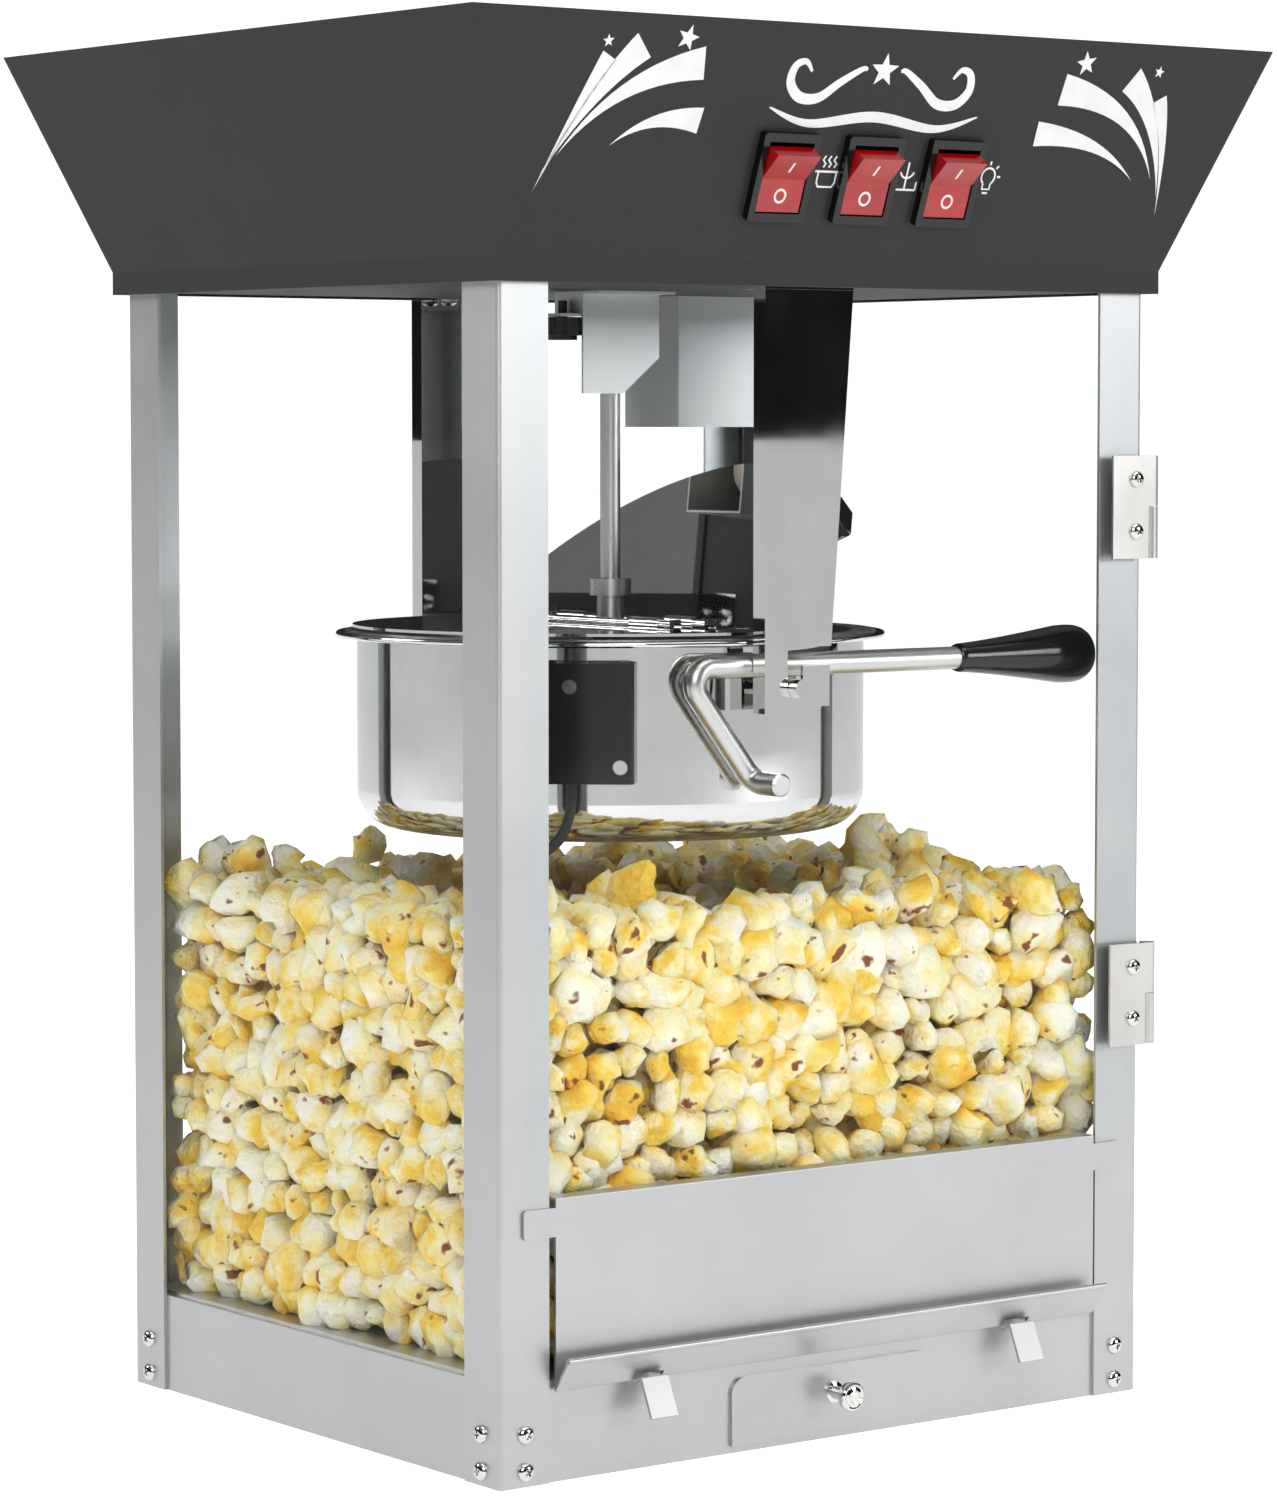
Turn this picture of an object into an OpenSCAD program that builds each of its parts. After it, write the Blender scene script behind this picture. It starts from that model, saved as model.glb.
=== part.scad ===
// Table-top popcorn maker: glazed cabinet on four angle posts, flared roof,
// kettle hung between two arms. Origin: centre of the footprint, on the ground.
// +Z is up, -Y is the front (door, serving shelf, drawer, switches).

/* [Cabinet] */
// Width over the corner posts
cab_w = 350; // [346:1:356]
// Depth over the corner posts
cab_d = 286; // [284:1:290]
// Height of the underside of the roof rim
rim_z = 493; // [491:1:497]
// Leg length of the angle posts
post_leg = 25; // [22:1:27]
// Sheet thickness of the posts
post_t = 1.5; // [1.2:0.1:1.8]
// Height of the base rails
rail_z = 45; // [44:1:47]
// Sheet thickness of rails, shelf and leaves
sheet = 1.2; // [1:0.1:1.3]
// Height of the rubber feet below the floor plate
foot_h = 2; // [1.5:0.5:3]
// Thickness of the fixed glass
glass_t = 3; // [2.5:0.5:3]
// Thickness of the door glass
door_t = 4; // [3.5:0.5:4]

/* [Roof] */
// Height of the vertical rim band
rim_h = 10; // [8:1:12]
// Rim overhang beyond the posts
rim_over = 5; // [4.5:0.5:6]
// Height of the flared panels
flare_h = 96; // [92:1:100]
// Outward run of the flared panels
flare_run = 35; // [32:1:38]
// Distance between the rocker switches
switch_pitch = 45.2; // [42:0.1:50]

/* [Kettle] */
// Radius of the kettle wall
kettle_r = 113; // [112:0.5:114]
// Radius of the rolled rim
kettle_rim_r = 122.5; // [121:0.5:123]
// Height of the kettle bottom
kettle_z = 257; // [255:1:262]
// Height of the tilt axis
tilt_z = 323.5; // [322:0.5:325]
// Opening angle at which the right lid stands
lid_angle = 42; // [0:1:42]

/* [Hidden] */
$fn = 64;

steel = [0.72, 0.73, 0.74];
bright = [0.86, 0.86, 0.87];
chrome = [0.9, 0.9, 0.92];
dark_paint = [0.24, 0.24, 0.24];
black = [0.06, 0.06, 0.06];
glass_tint = [0.8, 0.9, 0.95, 0.3];

hw = cab_w / 2;
hd = cab_d / 2;
bend_r = 2;
gap = 0.3;

// ---- small shared shapes ----

// One straight run of bent sheet, drawn on its centre line
module strip(a, b, t) {
    d = b - a;
    translate(a) rotate(atan2(d[1], d[0])) translate([0, -t / 2]) square([norm(d), t]);
}

// Bent sheet section through a list of centre-line points
module bent_section(points, t) {
    for (i = [0:len(points) - 2]) strip(points[i], points[i + 1], t);
    for (i = [1:len(points) - 2]) translate(points[i]) circle(d = t, $fn = 24);
}

// Turns a (y, z) section into a bar that runs from x0 to x1
module along_x(x0, x1) {
    translate([x0, 0, 0]) rotate([90, 0, 90]) linear_extrude(x1 - x0) children();
}

// Turns an (x, z) outline into a plate from y0 to y1
module along_y(y0, y1) {
    translate([0, y1, 0]) rotate([90, 0, 0]) linear_extrude(y1 - y0) children();
}

// Rectangle with round corners
module round_rect(w, h, r) {
    square([w - 2 * r, h], center = true);
    square([w, h - 2 * r], center = true);
    for (sx = [-1, 1], sy = [-1, 1])
        translate([sx * (w / 2 - r), sy * (h / 2 - r)]) circle(r, $fn = 32);
}

// Box between two corners
module box(a, b) {
    translate(a) cube(b - a);
}

// Cylinder that points along -Y from y
module rod_front(x, y, z, r, len) {
    translate([x, y, z]) rotate([90, 0, 0]) cylinder(r = r, h = len, $fn = 40);
}

// Pan-head screw with its head along +Z from the origin and its shank below
module pan_screw(head_d, head_h, shank_d, shank_l) {
    difference() {
        union() {
            cylinder(d = head_d, h = head_h * 0.55, $fn = 32);
            translate([0, 0, head_h * 0.55])
                cylinder(d1 = head_d, d2 = head_d * 0.62, h = head_h * 0.45, $fn = 32);
        }
        for (a = [0, 90])
            translate([0, 0, head_h]) rotate(a) cube([head_d * 0.5, 1, head_h], center = true);
    }
    translate([0, 0, -shank_l]) cylinder(d = shank_d, h = shank_l + 0.2, $fn = 24);
}

// ---- corner posts ----

post_top = rim_z + 7;
screw_z = [8.2, 23.5];
screw_in = 12.9;

module angle_section() {
    difference() {
        union() {
            square([post_leg, post_t]);
            square([post_t, post_leg]);
        }
        difference() {
            translate([-1, -1]) square(bend_r + 1);
            translate([bend_r, bend_r]) circle(bend_r, $fn = 32);
        }
    }
}

// Post whose outer corner is at (sx, sy) of the footprint
module corner_post(sx, sy) {
    color(steel) difference() {
        translate([sx * hw, sy * hd, foot_h])
            mirror([sx > 0 ? 1 : 0, 0, 0]) mirror([0, sy > 0 ? 1 : 0, 0])
                linear_extrude(post_top - foot_h) angle_section();
        for (z = screw_z) {
            translate([sx * (hw - screw_in), sy * hd, z])
                rotate([90, 0, 0]) cylinder(d = 4.2, h = 8, center = true, $fn = 24);
            translate([sx * hw, sy * (hd - screw_in), z])
                rotate([0, 90, 0]) cylinder(d = 4.2, h = 8, center = true, $fn = 24);
        }
        if (sx > 0 && sy < 0)
            for (z = leaf_screw_z)
                translate([hw, -hd + leaf_screw_in, z])
                    rotate([0, 90, 0]) cylinder(d = 4, h = 8, center = true, $fn = 24);
    }
}

// ---- base ----

rail_y = hd - post_t;
rail_x = hw - post_t;
flange = 12;
drawer_w = 104;
drawer_z0 = 6;
drawer_z1 = 32;

module rail_section() {
    bent_section([[0, foot_h], [0, rail_z - sheet / 2], [flange, rail_z - sheet / 2]], sheet);
}

module front_back_rail(sy) {
    difference() {
        mirror([0, sy > 0 ? 1 : 0, 0])
            translate([0, -rail_y + sheet / 2, 0]) along_x(-rail_x + sheet, rail_x - sheet)
                rail_section();
        for (sx = [-1, 1], z = screw_z)
            translate([sx * (hw - screw_in), sy * rail_y, z])
                rotate([90, 0, 0]) cylinder(d = 4.2, h = 8, center = true, $fn = 24);
    }
}

module front_rail() {
    color(steel) difference() {
        front_back_rail(-1);
        box([-drawer_w / 2, -rail_y - 2, drawer_z0], [drawer_w / 2, -rail_y + 4, drawer_z1 + 1]);
    }
}

module rear_rail() {
    color(steel) front_back_rail(1);
}

module side_rail(sx) {
    run = rail_y - sheet - 0.1;
    color(steel) difference() {
        mirror([sx > 0 ? 1 : 0, 0, 0]) {
            box([-rail_x, -run, foot_h], [-rail_x + sheet, run, rail_z]);
            box([-rail_x, -rail_y + flange + 1, rail_z - sheet],
                [-rail_x + flange, rail_y - flange - 1, rail_z]);
        }
        for (sy = [-1, 1], z = screw_z)
            translate([sx * rail_x, sy * (hd - screw_in), z])
                rotate([0, 90, 0]) cylinder(d = 4.2, h = 8, center = true, $fn = 24);
    }
}

module base_floor() {
    color(steel) {
        difference() {
            box([-rail_x + sheet, -rail_y + sheet, foot_h],
                [rail_x - sheet, rail_y - sheet, foot_h + sheet]);
            for (sx = [-1, 1], sy = [-1, 1])
                translate([sx * 145, sy * 112, 0]) cylinder(d = 6.4, h = 10, $fn = 32);
        }
        // runners that carry the crumb drawer
        for (sx = [-1, 1])
            box([sx * 40 - 4, -rail_y + sheet + 2, foot_h + sheet],
                [sx * 40 + 4, 118, drawer_z0 + 0.2]);
    }
}

module rubber_feet() {
    color(black) for (sx = [-1, 1], sy = [-1, 1])
        translate([sx * 145, sy * 112, 0]) {
            cylinder(d1 = 18, d2 = 20, h = foot_h, $fn = 40);
            cylinder(d = 6.2, h = foot_h + sheet + 1, $fn = 32);
            translate([0, 0, foot_h + sheet]) cylinder(d = 9, h = 2, $fn = 32);
        }
}

module post_screws() {
    color(chrome) for (sx = [-1, 1], sy = [-1, 1], z = screw_z) {
        translate([sx * (hw - screw_in), sy * hd, z])
            rotate([sy < 0 ? 90 : -90, 0, 0]) pan_screw(8, 2.5, 3.9, post_t + sheet + 2);
        translate([sx * hw, sy * (hd - screw_in), z])
            rotate([0, sx * 90, 0]) pan_screw(8, 2.5, 3.9, post_t + sheet + 2);
    }
}

module popcorn_deck() {
    color(bright) difference() {
        box([-rail_x + glass_t + 0.3, -rail_y + sheet + 0.5, rail_z],
            [rail_x - glass_t - 0.3, rail_y - glass_t - 0.3, rail_z + sheet]);
        // old-maid slots above the drawer
        for (i = [-5:5], j = [-2:2])
            box([i * 8.6 - 2.5, j * 42 - 22 - 17, rail_z - 1],
                [i * 8.6 + 2.5, j * 42 - 22 + 17, rail_z + 3]);
    }
}

// ---- crumb drawer ----

front_plate_y = -rail_y - 1.5;

module crumb_drawer() {
    color(steel) difference() {
        box([-drawer_w / 2 + 1, -rail_y, drawer_z0 + 0.5], [drawer_w / 2 - 1, 112, drawer_z1]);
        box([-drawer_w / 2 + 2, -rail_y + 1, drawer_z0 + 1.5], [drawer_w / 2 - 2, 111, drawer_z1 + 1]);
        rod_front(0, -rail_y + 5, 22, 2.1, 10);
    }
}

module drawer_front() {
    color(steel) difference() {
        along_y(front_plate_y, -rail_y) difference() {
            union() {
                translate([-55, 5]) square([110, 22]);
                translate([-48, 5]) square([96, 29]);
                for (sx = [-1, 1]) translate([sx * 48, 27]) circle(7, $fn = 40);
            }
            translate([0, 22]) circle(2.1, $fn = 24);
        }
    }
}

module drawer_knob() {
    color(chrome) translate([0, front_plate_y, 22]) rotate([90, 0, 0]) {
        cylinder(d = 9, h = 1.5, $fn = 40);
        cylinder(d = 5.5, h = 9, $fn = 40);
        translate([0, 0, 8]) cylinder(d1 = 7, d2 = 12.6, h = 2.5, $fn = 48);
        translate([0, 0, 10.5]) cylinder(d = 12.6, h = 3, $fn = 48);
        translate([0, 0, 13.5]) cylinder(d1 = 12.6, d2 = 8.5, h = 1.5, $fn = 48);
        translate([0, 0, -4]) cylinder(d = 4, h = 5, $fn = 32);
    }
}

// ---- fold-down serving shelf ----

shelf_y = -hd - gap - sheet / 2;
shelf_top = 120;
shelf_bot = 40;
hook_x = 101;
hook_w = 13.6;

module serving_shelf() {
    path = [
        [shelf_y + 8, shelf_top - sheet / 2], [shelf_y, shelf_top - sheet / 2],
        [shelf_y, shelf_bot + sheet / 2], [shelf_y - 9, shelf_bot + sheet / 2 + 13]
    ];
    color(steel) difference() {
        union() {
            along_x(-147.7, 147.7) {
                bent_section(path, sheet);
                // rolled hem along the lip
                translate(path[3]) circle(d = 2.6, $fn = 32);
            }
            along_y(shelf_y - sheet / 2, shelf_y + sheet / 2)
                translate([0, 110]) round_rect(2 * 163.7, 12, 1.5);
        }
        // slots that let the panel ride over the hooks
        for (sx = [-1, 1])
            box([sx * hook_x - hook_w / 2 - 0.9, shelf_y - 2.3, shelf_bot - 1],
                [sx * hook_x + hook_w / 2 + 0.9, shelf_y + 2, shelf_bot + 3.4]);
    }
}

module shelf_hooks() {
    path = [[-rail_y, 38.6], [-rail_y - 4.1, 38.6], [-rail_y - 7.8, 41.3], [-rail_y - 14.9, 25.6]];
    color(bright) for (sx = [-1, 1])
        along_x(sx * hook_x - hook_w / 2, sx * hook_x + hook_w / 2) bent_section(path, 1.4);
}

// ---- glass ----

module side_glass(sx) {
    color(glass_tint) mirror([sx > 0 ? 1 : 0, 0, 0])
        box([-rail_x, -rail_y, rail_z], [-rail_x + glass_t, rail_y, rim_z + 0.7]);
}

module rear_glass() {
    color(glass_tint)
        box([-rail_x + glass_t + 0.1, rail_y - glass_t, rail_z],
            [rail_x - glass_t - 0.1, rail_y, rim_z + 0.7]);
}

// ---- door ----

door_y = -hd - gap;
door_x0 = -160;
door_x1 = 172.4;
door_z0 = shelf_top + 3.5;
door_z1 = rim_z - 3;
leaf_z = [159, 376];
leaf_h = 45.5;
leaf_screw_z = [171, 194, 388, 411];
leaf_screw_in = 14;
leaf_y = door_y - door_t;
knuckle_r = 3.5;
pin_r = 2;
pin_x = hw + 3.6;
pin_y = leaf_y - sheet + knuckle_r;

module door_glass() {
    color(glass_tint) difference() {
        box([door_x0, leaf_y, door_z0], [door_x1, door_y, door_z1]);
        for (z = leaf_screw_z) rod_front(167, door_y + 1, z, 2, 8);
    }
}

module door_leaves() {
    half = leaf_h / 2;
    color(steel) for (z0 = leaf_z) difference() {
        union() {
            box([153.5, leaf_y - sheet, z0], [pin_x - knuckle_r - 0.5, leaf_y, z0 + leaf_h]);
            box([153.5, leaf_y - sheet, z0 + half + 0.3], [pin_x, leaf_y, z0 + leaf_h]);
            translate([pin_x, pin_y, z0 + half + 0.3])
                cylinder(r = knuckle_r, h = half - 0.3, $fn = 40);
        }
        translate([pin_x, pin_y, z0 + half - 1]) cylinder(r = pin_r + 0.05, h = half + 3, $fn = 40);
        for (z = leaf_screw_z) rod_front(167, leaf_y + 1, z, 2, 8);
    }
}

module post_leaves() {
    half = leaf_h / 2;
    color(steel) for (z0 = leaf_z) difference() {
        union() {
            box([hw, pin_y + knuckle_r + 0.5, z0], [hw + sheet, -hd + 24, z0 + leaf_h]);
            box([hw, pin_y, z0], [hw + sheet, -hd + 24, z0 + half]);
            translate([pin_x, pin_y, z0]) cylinder(r = knuckle_r, h = half, $fn = 40);
        }
        translate([pin_x, pin_y, z0 + 2]) cylinder(r = pin_r + 0.05, h = half, $fn = 40);
        for (z = leaf_screw_z)
            translate([hw, -hd + leaf_screw_in, z])
                rotate([0, 90, 0]) cylinder(d = 4, h = 8, center = true, $fn = 24);
    }
}

module hinge_pins() {
    color(chrome) for (z0 = leaf_z)
        translate([pin_x, pin_y, z0 + 2]) cylinder(r = pin_r, h = leaf_h - 2.5, $fn = 40);
}

module door_leaf_screws() {
    color(chrome) for (z = leaf_screw_z)
        translate([167, leaf_y - sheet, z])
            rotate([90, 0, 0]) pan_screw(7.6, 2.4, 3.8, sheet + door_t);
}

module post_leaf_screws() {
    color(chrome) for (z = leaf_screw_z)
        translate([hw + sheet, -hd + leaf_screw_in, z])
            rotate([0, 90, 0]) pan_screw(7.6, 2.4, 3.8, sheet + post_t);
}

// ---- roof ----

rim_top = rim_z + rim_h;
roof_top = rim_top + flare_h;
tilt = atan(flare_run / flare_h);
rim_hw = hw + rim_over;
rim_hd = hd + rim_over;
switch_v = 37.2;
switch_x0 = 0.5;
switch_xs = [switch_x0 - switch_pitch, switch_x0, switch_x0 + switch_pitch];

// Frustum with rectangular ends, half sizes a at z0 and b at z1
module frustum(z0, a, z1, b) {
    corners = [[-1, -1], [1, -1], [1, 1], [-1, 1]];
    polyhedron(
        points = concat(
            [for (c = corners) [c[0] * a[0], c[1] * a[1], z0]],
            [for (c = corners) [c[0] * b[0], c[1] * b[1], z1]]),
        faces = [[0, 1, 2, 3], [4, 7, 6, 5], [0, 4, 5, 1], [1, 5, 6, 2], [2, 6, 7, 3], [3, 7, 4, 0]]);
}

// Half size of the roof skin's inside at height z
function roof_in(z) = let (s = (z - rim_top) * flare_run / flare_h - 1.3)
    [rim_hw + s, rim_hd + s];

// Places children on the front flare: +Z outward, +Y up the slope
module on_flare(x, v) {
    translate([x, -rim_hd - v * sin(tilt), rim_top + v * cos(tilt)])
        rotate([90 + tilt, 0, 0]) children();
}

// Same for the rear flare
module on_rear_flare(x, v) {
    rotate([0, 0, 180]) on_flare(x, v) children();
}

module roof_shell() {
    color(dark_paint) difference() {
        union() {
            difference() {
                frustum(rim_top, [rim_hw, rim_hd], roof_top, [rim_hw + flare_run, rim_hd + flare_run]);
                frustum(rim_top - 1, roof_in(rim_top - 1), roof_top + 1, roof_in(roof_top + 1));
            }
            difference() {
                box([-rim_hw, -rim_hd, rim_z], [rim_hw, rim_hd, rim_top]);
                box([-rim_hw + sheet, -rim_hd + sheet, rim_z + sheet],
                    [rim_hw - sheet, rim_hd - sheet, rim_top + 1]);
                box([-hw - 0.1, -hd - 0.1, rim_z - 1], [hw + 0.1, hd + 0.1, rim_z + 3]);
            }
        }
        for (x = switch_xs) on_flare(x, switch_v) cube([27, 34, 10], center = true);
        on_rear_flare(110, 40) cylinder(d = 16.2, h = 10, center = true, $fn = 48);
    }
}

module roof_cover() {
    h = roof_in(roof_top - 1.4);
    color(dark_paint)
        box([-h[0] + 0.1, -h[1] + 0.1, roof_top - 1.4], [h[0] - 0.1, h[1] - 0.1, roof_top]);
}

module ceiling_plate() {
    color(dark_paint) difference() {
        box([-rail_x, -rail_y, rim_z + 1], [rail_x, rail_y, rim_z + 1 + sheet]);
        translate([kx, ky, rim_z]) cylinder(d = 14, h = 6);
        for (p = arm_screw_xy) translate([p[0], p[1], rim_z]) cylinder(d = 4.4, h = 6, $fn = 24);
    }
}

// ---- rocker switches ----

rocker_tilt = 15;
rocker_half = 13.6;
rocker_mid = 2.6;
rocker_end = rocker_mid + rocker_half * tan(rocker_tilt);
rocker_pivot = 0.5;

module switch_housings() {
    color(black) for (x = switch_xs) on_flare(x, switch_v) difference() {
        union() {
            linear_extrude(3.6) round_rect(30, 38, 1.5);
            translate([0, 0, -20]) linear_extrude(21) square([26.4, 33.4], center = true);
            for (y = [-8, 0, 8]) translate([0, y, -28]) linear_extrude(9) square([6, 1], center = true);
        }
        translate([0, 0, -9]) linear_extrude(20) square([23.4, 30.6], center = true);
    }
}

// Rocker number i, standing with its upper half out
module rocker(i) {
    color([0.75, 0.05, 0.05])
        on_flare(switch_xs[i], switch_v) translate([0, 0, rocker_pivot]) rotate([rocker_tilt, 0, 0])
            along_x(-11.3, 11.3) polygon([
                [-rocker_half, rocker_end], [0, rocker_mid], [rocker_half, rocker_end],
                [rocker_half, -1], [6, -5], [-6, -5], [-rocker_half, -1]
            ]);
}

// ---- stirring drive ----

kx = -10.5;
ky = 3;
shaft_r = 4.5;
tongue_z = 452;
tongue_h = 8;
fork_h = 12;
bushing_z = tongue_z + fork_h + 4;
gearbox_z = rim_z + 1 + sheet;

module gearbox() {
    color(steel) translate([kx, ky, gearbox_z]) difference() {
        linear_extrude(34) round_rect(84, 62, 6);
        translate([0, 0, -1]) cylinder(r = shaft_r + 0.05, h = 22);
    }
}

module gear_motor() {
    color([0.4, 0.4, 0.42]) translate([kx - 12, ky, gearbox_z + 34]) {
        cylinder(d = 58, h = 52);
        translate([0, 0, 52]) cylinder(d = 18, h = 5);
    }
}

bracket_y = -5.3;
bracket_z = 449;

// Output shaft that ends in a fork; the stirrer's tongue leaves it sideways
module drive_shaft() {
    color(bright) translate([kx, ky, 0]) {
        translate([0, 0, tongue_z + fork_h])
            cylinder(r = shaft_r, h = gearbox_z + 18 - tongue_z - fork_h);
        difference() {
            translate([0, 0, tongue_z + 0.5])
                cylinder(r = ky - bracket_y - sheet - 0.3, h = fork_h - 0.5);
            translate([0, 0, tongue_z]) cube([30, 4.2, 2 * tongue_h + 1.2], center = true);
        }
    }
}

module shaft_bracket() {
    color(bright) difference() {
        union() {
            along_y(bracket_y, bracket_y + sheet) polygon([
                [kx - 21, rim_z + 1], [kx + 21, rim_z + 1], [kx + 21, bracket_z + 16],
                [kx + 1, bracket_z], [kx - 21, bracket_z]
            ]);
            // left cheek and the ledge that takes the thumb screw
            box([kx - 21, bracket_y, 483], [kx - 21 + sheet, 16, rim_z + 1]);
            box([kx - 32, bracket_y + 2, 483], [kx - 20, 16, 483 + sheet]);
            // top flange under the ceiling
            box([kx - 21, bracket_y - 12, rim_z + 1 - sheet], [kx + 21, bracket_y + 1, rim_z + 1]);
        }
        translate([kx - 24, 6, 480]) cylinder(r = 2.1, h = 8, $fn = 32);
    }
}

module shaft_bushing() {
    color([0.75, 0.6, 0.3]) translate([kx, ky, bushing_z]) difference() {
        cylinder(r = ky - bracket_y - sheet, h = 12);
        translate([0, 0, -1]) cylinder(r = shaft_r + 0.05, h = 14);
    }
}

module thumb_knob() {
    color(black) translate([kx - 24, 6, 0]) {
        difference() {
            translate([0, 0, 474.6]) cylinder(d = 20, h = 8);
            for (a = [0:30:330]) rotate(a) translate([10.4, 0, 474]) cylinder(r = 1.2, h = 9, $fn = 24);
        }
        translate([0, 0, 472.6]) cylinder(d = 13, h = 2.4);
        translate([0, 0, 482]) cylinder(r = 2, h = 8, $fn = 32);
    }
}

// ---- lamp ----

lamp_x0 = 56;
lamp_y0 = 40;
lamp_w = 44;
lamp_d = 41;
lamp_z = 434;

module lamp_shade() {
    color([0.6, 0.6, 0.6]) difference() {
        box([lamp_x0, lamp_y0, lamp_z], [lamp_x0 + lamp_w, lamp_y0 + lamp_d, rim_z + 1]);
        box([lamp_x0 + 1, lamp_y0 + 1, lamp_z - 1], [lamp_x0 + lamp_w - 1, lamp_y0 + lamp_d - 1, rim_z]);
    }
}

module lamp_holder() {
    color([0.93, 0.92, 0.88]) translate([lamp_x0 + lamp_w / 2, lamp_y0 + lamp_d / 2, 0])
        difference() {
            translate([0, 0, rim_z - 16]) cylinder(d = 24, h = 16);
            translate([0, 0, rim_z - 17]) cylinder(d = 17.2, h = 13);
        }
}

module warming_bulb() {
    color([1, 0.95, 0.8]) translate([lamp_x0 + lamp_w / 2, lamp_y0 + lamp_d / 2, 0]) {
        translate([0, 0, rim_z - 18]) cylinder(d = 17, h = 13);
        translate([0, 0, rim_z - 20]) cylinder(d1 = 20, d2 = 17, h = 2.2);
        translate([0, 0, rim_z - 24]) cylinder(d1 = 27, d2 = 20, h = 4.2);
        translate([0, 0, rim_z - 30]) sphere(d = 30);
    }
}

// ---- hanger arms ----

arm_x0 = kx - 16.5;
arm_front_y = -129;
arm_rear_y = 127.5;
arm_t = 1.5;
arm_bot = 313;
tilt_pin_r = 4;
arm_screw_xy = [for (y = [arm_front_y + 9, arm_rear_y - 7.5], x = [kx - 6, kx + 20]) [x, y]];

// Outline of one arm with its L-shaped slot; plate from y to y + arm_t.
// top_dir is the side to which the top flange is turned.
module hanger_arm(y, top_dir) {
    color(bright) difference() {
        union() {
            along_y(y, y + arm_t) difference() {
                polygon([
                    [arm_x0, rim_z + 1], [kx + 31.5, rim_z + 1], [kx + 19.4, 338], [kx + 18, 319],
                    [kx + 12, arm_bot], [arm_x0, arm_bot]
                ]);
                translate([kx, tilt_z]) circle(tilt_pin_r + 0.1, $fn = 48);
                translate([kx - tilt_pin_r - 0.1, tilt_z]) square([2 * tilt_pin_r + 0.2, 17.5]);
                translate([kx - tilt_pin_r - 0.1, tilt_z + 9.5]) square([60, 8]);
            }
            box([arm_x0, y, arm_bot], [arm_x0 + arm_t, y + 8, rim_z + 1]);
            if (top_dir > 0)
                box([arm_x0, y, rim_z + 1 - arm_t], [kx + 31.5, y + 16, rim_z + 1]);
            else
                box([arm_x0, y - 14.5, rim_z + 1 - arm_t], [kx + 31.5, y + arm_t, rim_z + 1]);
        }
        for (p = arm_screw_xy) translate([p[0], p[1], rim_z - 3]) cylinder(d = 4.4, h = 6, $fn = 24);
    }
}

module arm_screws() {
    color(chrome) for (p = arm_screw_xy)
        translate([p[0], p[1], rim_z + 1 - arm_t]) rotate([180, 0, 0]) pan_screw(7.6, 2.4, 3.9, 7);
}

// ---- kettle ----

rim_pot_z = 344.5;

// Half section of a flat-bottomed cup
module cup_half(r, h, c) {
    square([r - c, h]);
    translate([0, c]) square([r, h - c]);
    translate([r - c, c]) circle(c);
}

module kettle_shell() {
    color(chrome) translate([kx, ky, 0]) rotate_extrude($fn = 120) {
        difference() {
            translate([0, kettle_z]) cup_half(kettle_r, rim_pot_z - 2.4 - kettle_z, 17);
            translate([0, kettle_z + 1.2]) cup_half(kettle_r - 1.2, 120, 16);
        }
        translate([kettle_r - 1.2, rim_pot_z - 2.4]) square([kettle_rim_r - kettle_r, 1.2]);
        translate([kettle_rim_r - 1.4, rim_pot_z - 1.9]) circle(1.4, $fn = 32);
    }
}

module kettle_pot() {
    color(bright) translate([kx, ky, 0]) rotate_extrude($fn = 120) {
        difference() {
            translate([0, 272]) cup_half(109, rim_pot_z - 272, 16);
            translate([0, 273.5]) cup_half(107.5, 100, 15);
        }
        translate([108, rim_pot_z - 1.2]) square([kettle_rim_r - 112.2, 1.2]);
    }
}

module heating_element() {
    color([0.35, 0.3, 0.28]) translate([kx, ky, 267.5]) {
        rotate_extrude($fn = 96) translate([72, 0]) circle(4.4, $fn = 32);
        rotate_extrude($fn = 96) translate([44, 0]) circle(4.4, $fn = 32);
        rotate(228) translate([44, 0, 0]) rotate([0, 90, 0]) cylinder(r = 3, h = 60, $fn = 32);
    }
}

lid_off = 9.5;
lid_z = 348.5;
lid_r = 115;

module lid_bridge() {
    color(chrome) translate([kx, ky, 0]) {
        difference() {
            box([-12, -120, rim_pot_z], [12, 120, rim_pot_z + 1]);
            translate([0, 0, rim_pot_z - 1]) cylinder(r = 4.3, h = 4);
        }
        difference() {
            translate([0, 0, rim_pot_z - 7]) cylinder(r = 8, h = 7.2);
            translate([0, 0, rim_pot_z - 8]) cylinder(r = 4.05, h = 12);
        }
        for (sx = [-1, 1]) {
            translate([sx * lid_off, -62, lid_z])
                rotate([-90, 0, 0]) cylinder(r = 1.5, h = 124, $fn = 32);
            for (y = [-62, 59])
                box([sx * lid_off - 2, y, rim_pot_z + 0.5], [sx * lid_off + 2, y + 3, lid_z + 2]);
        }
    }
}

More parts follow.
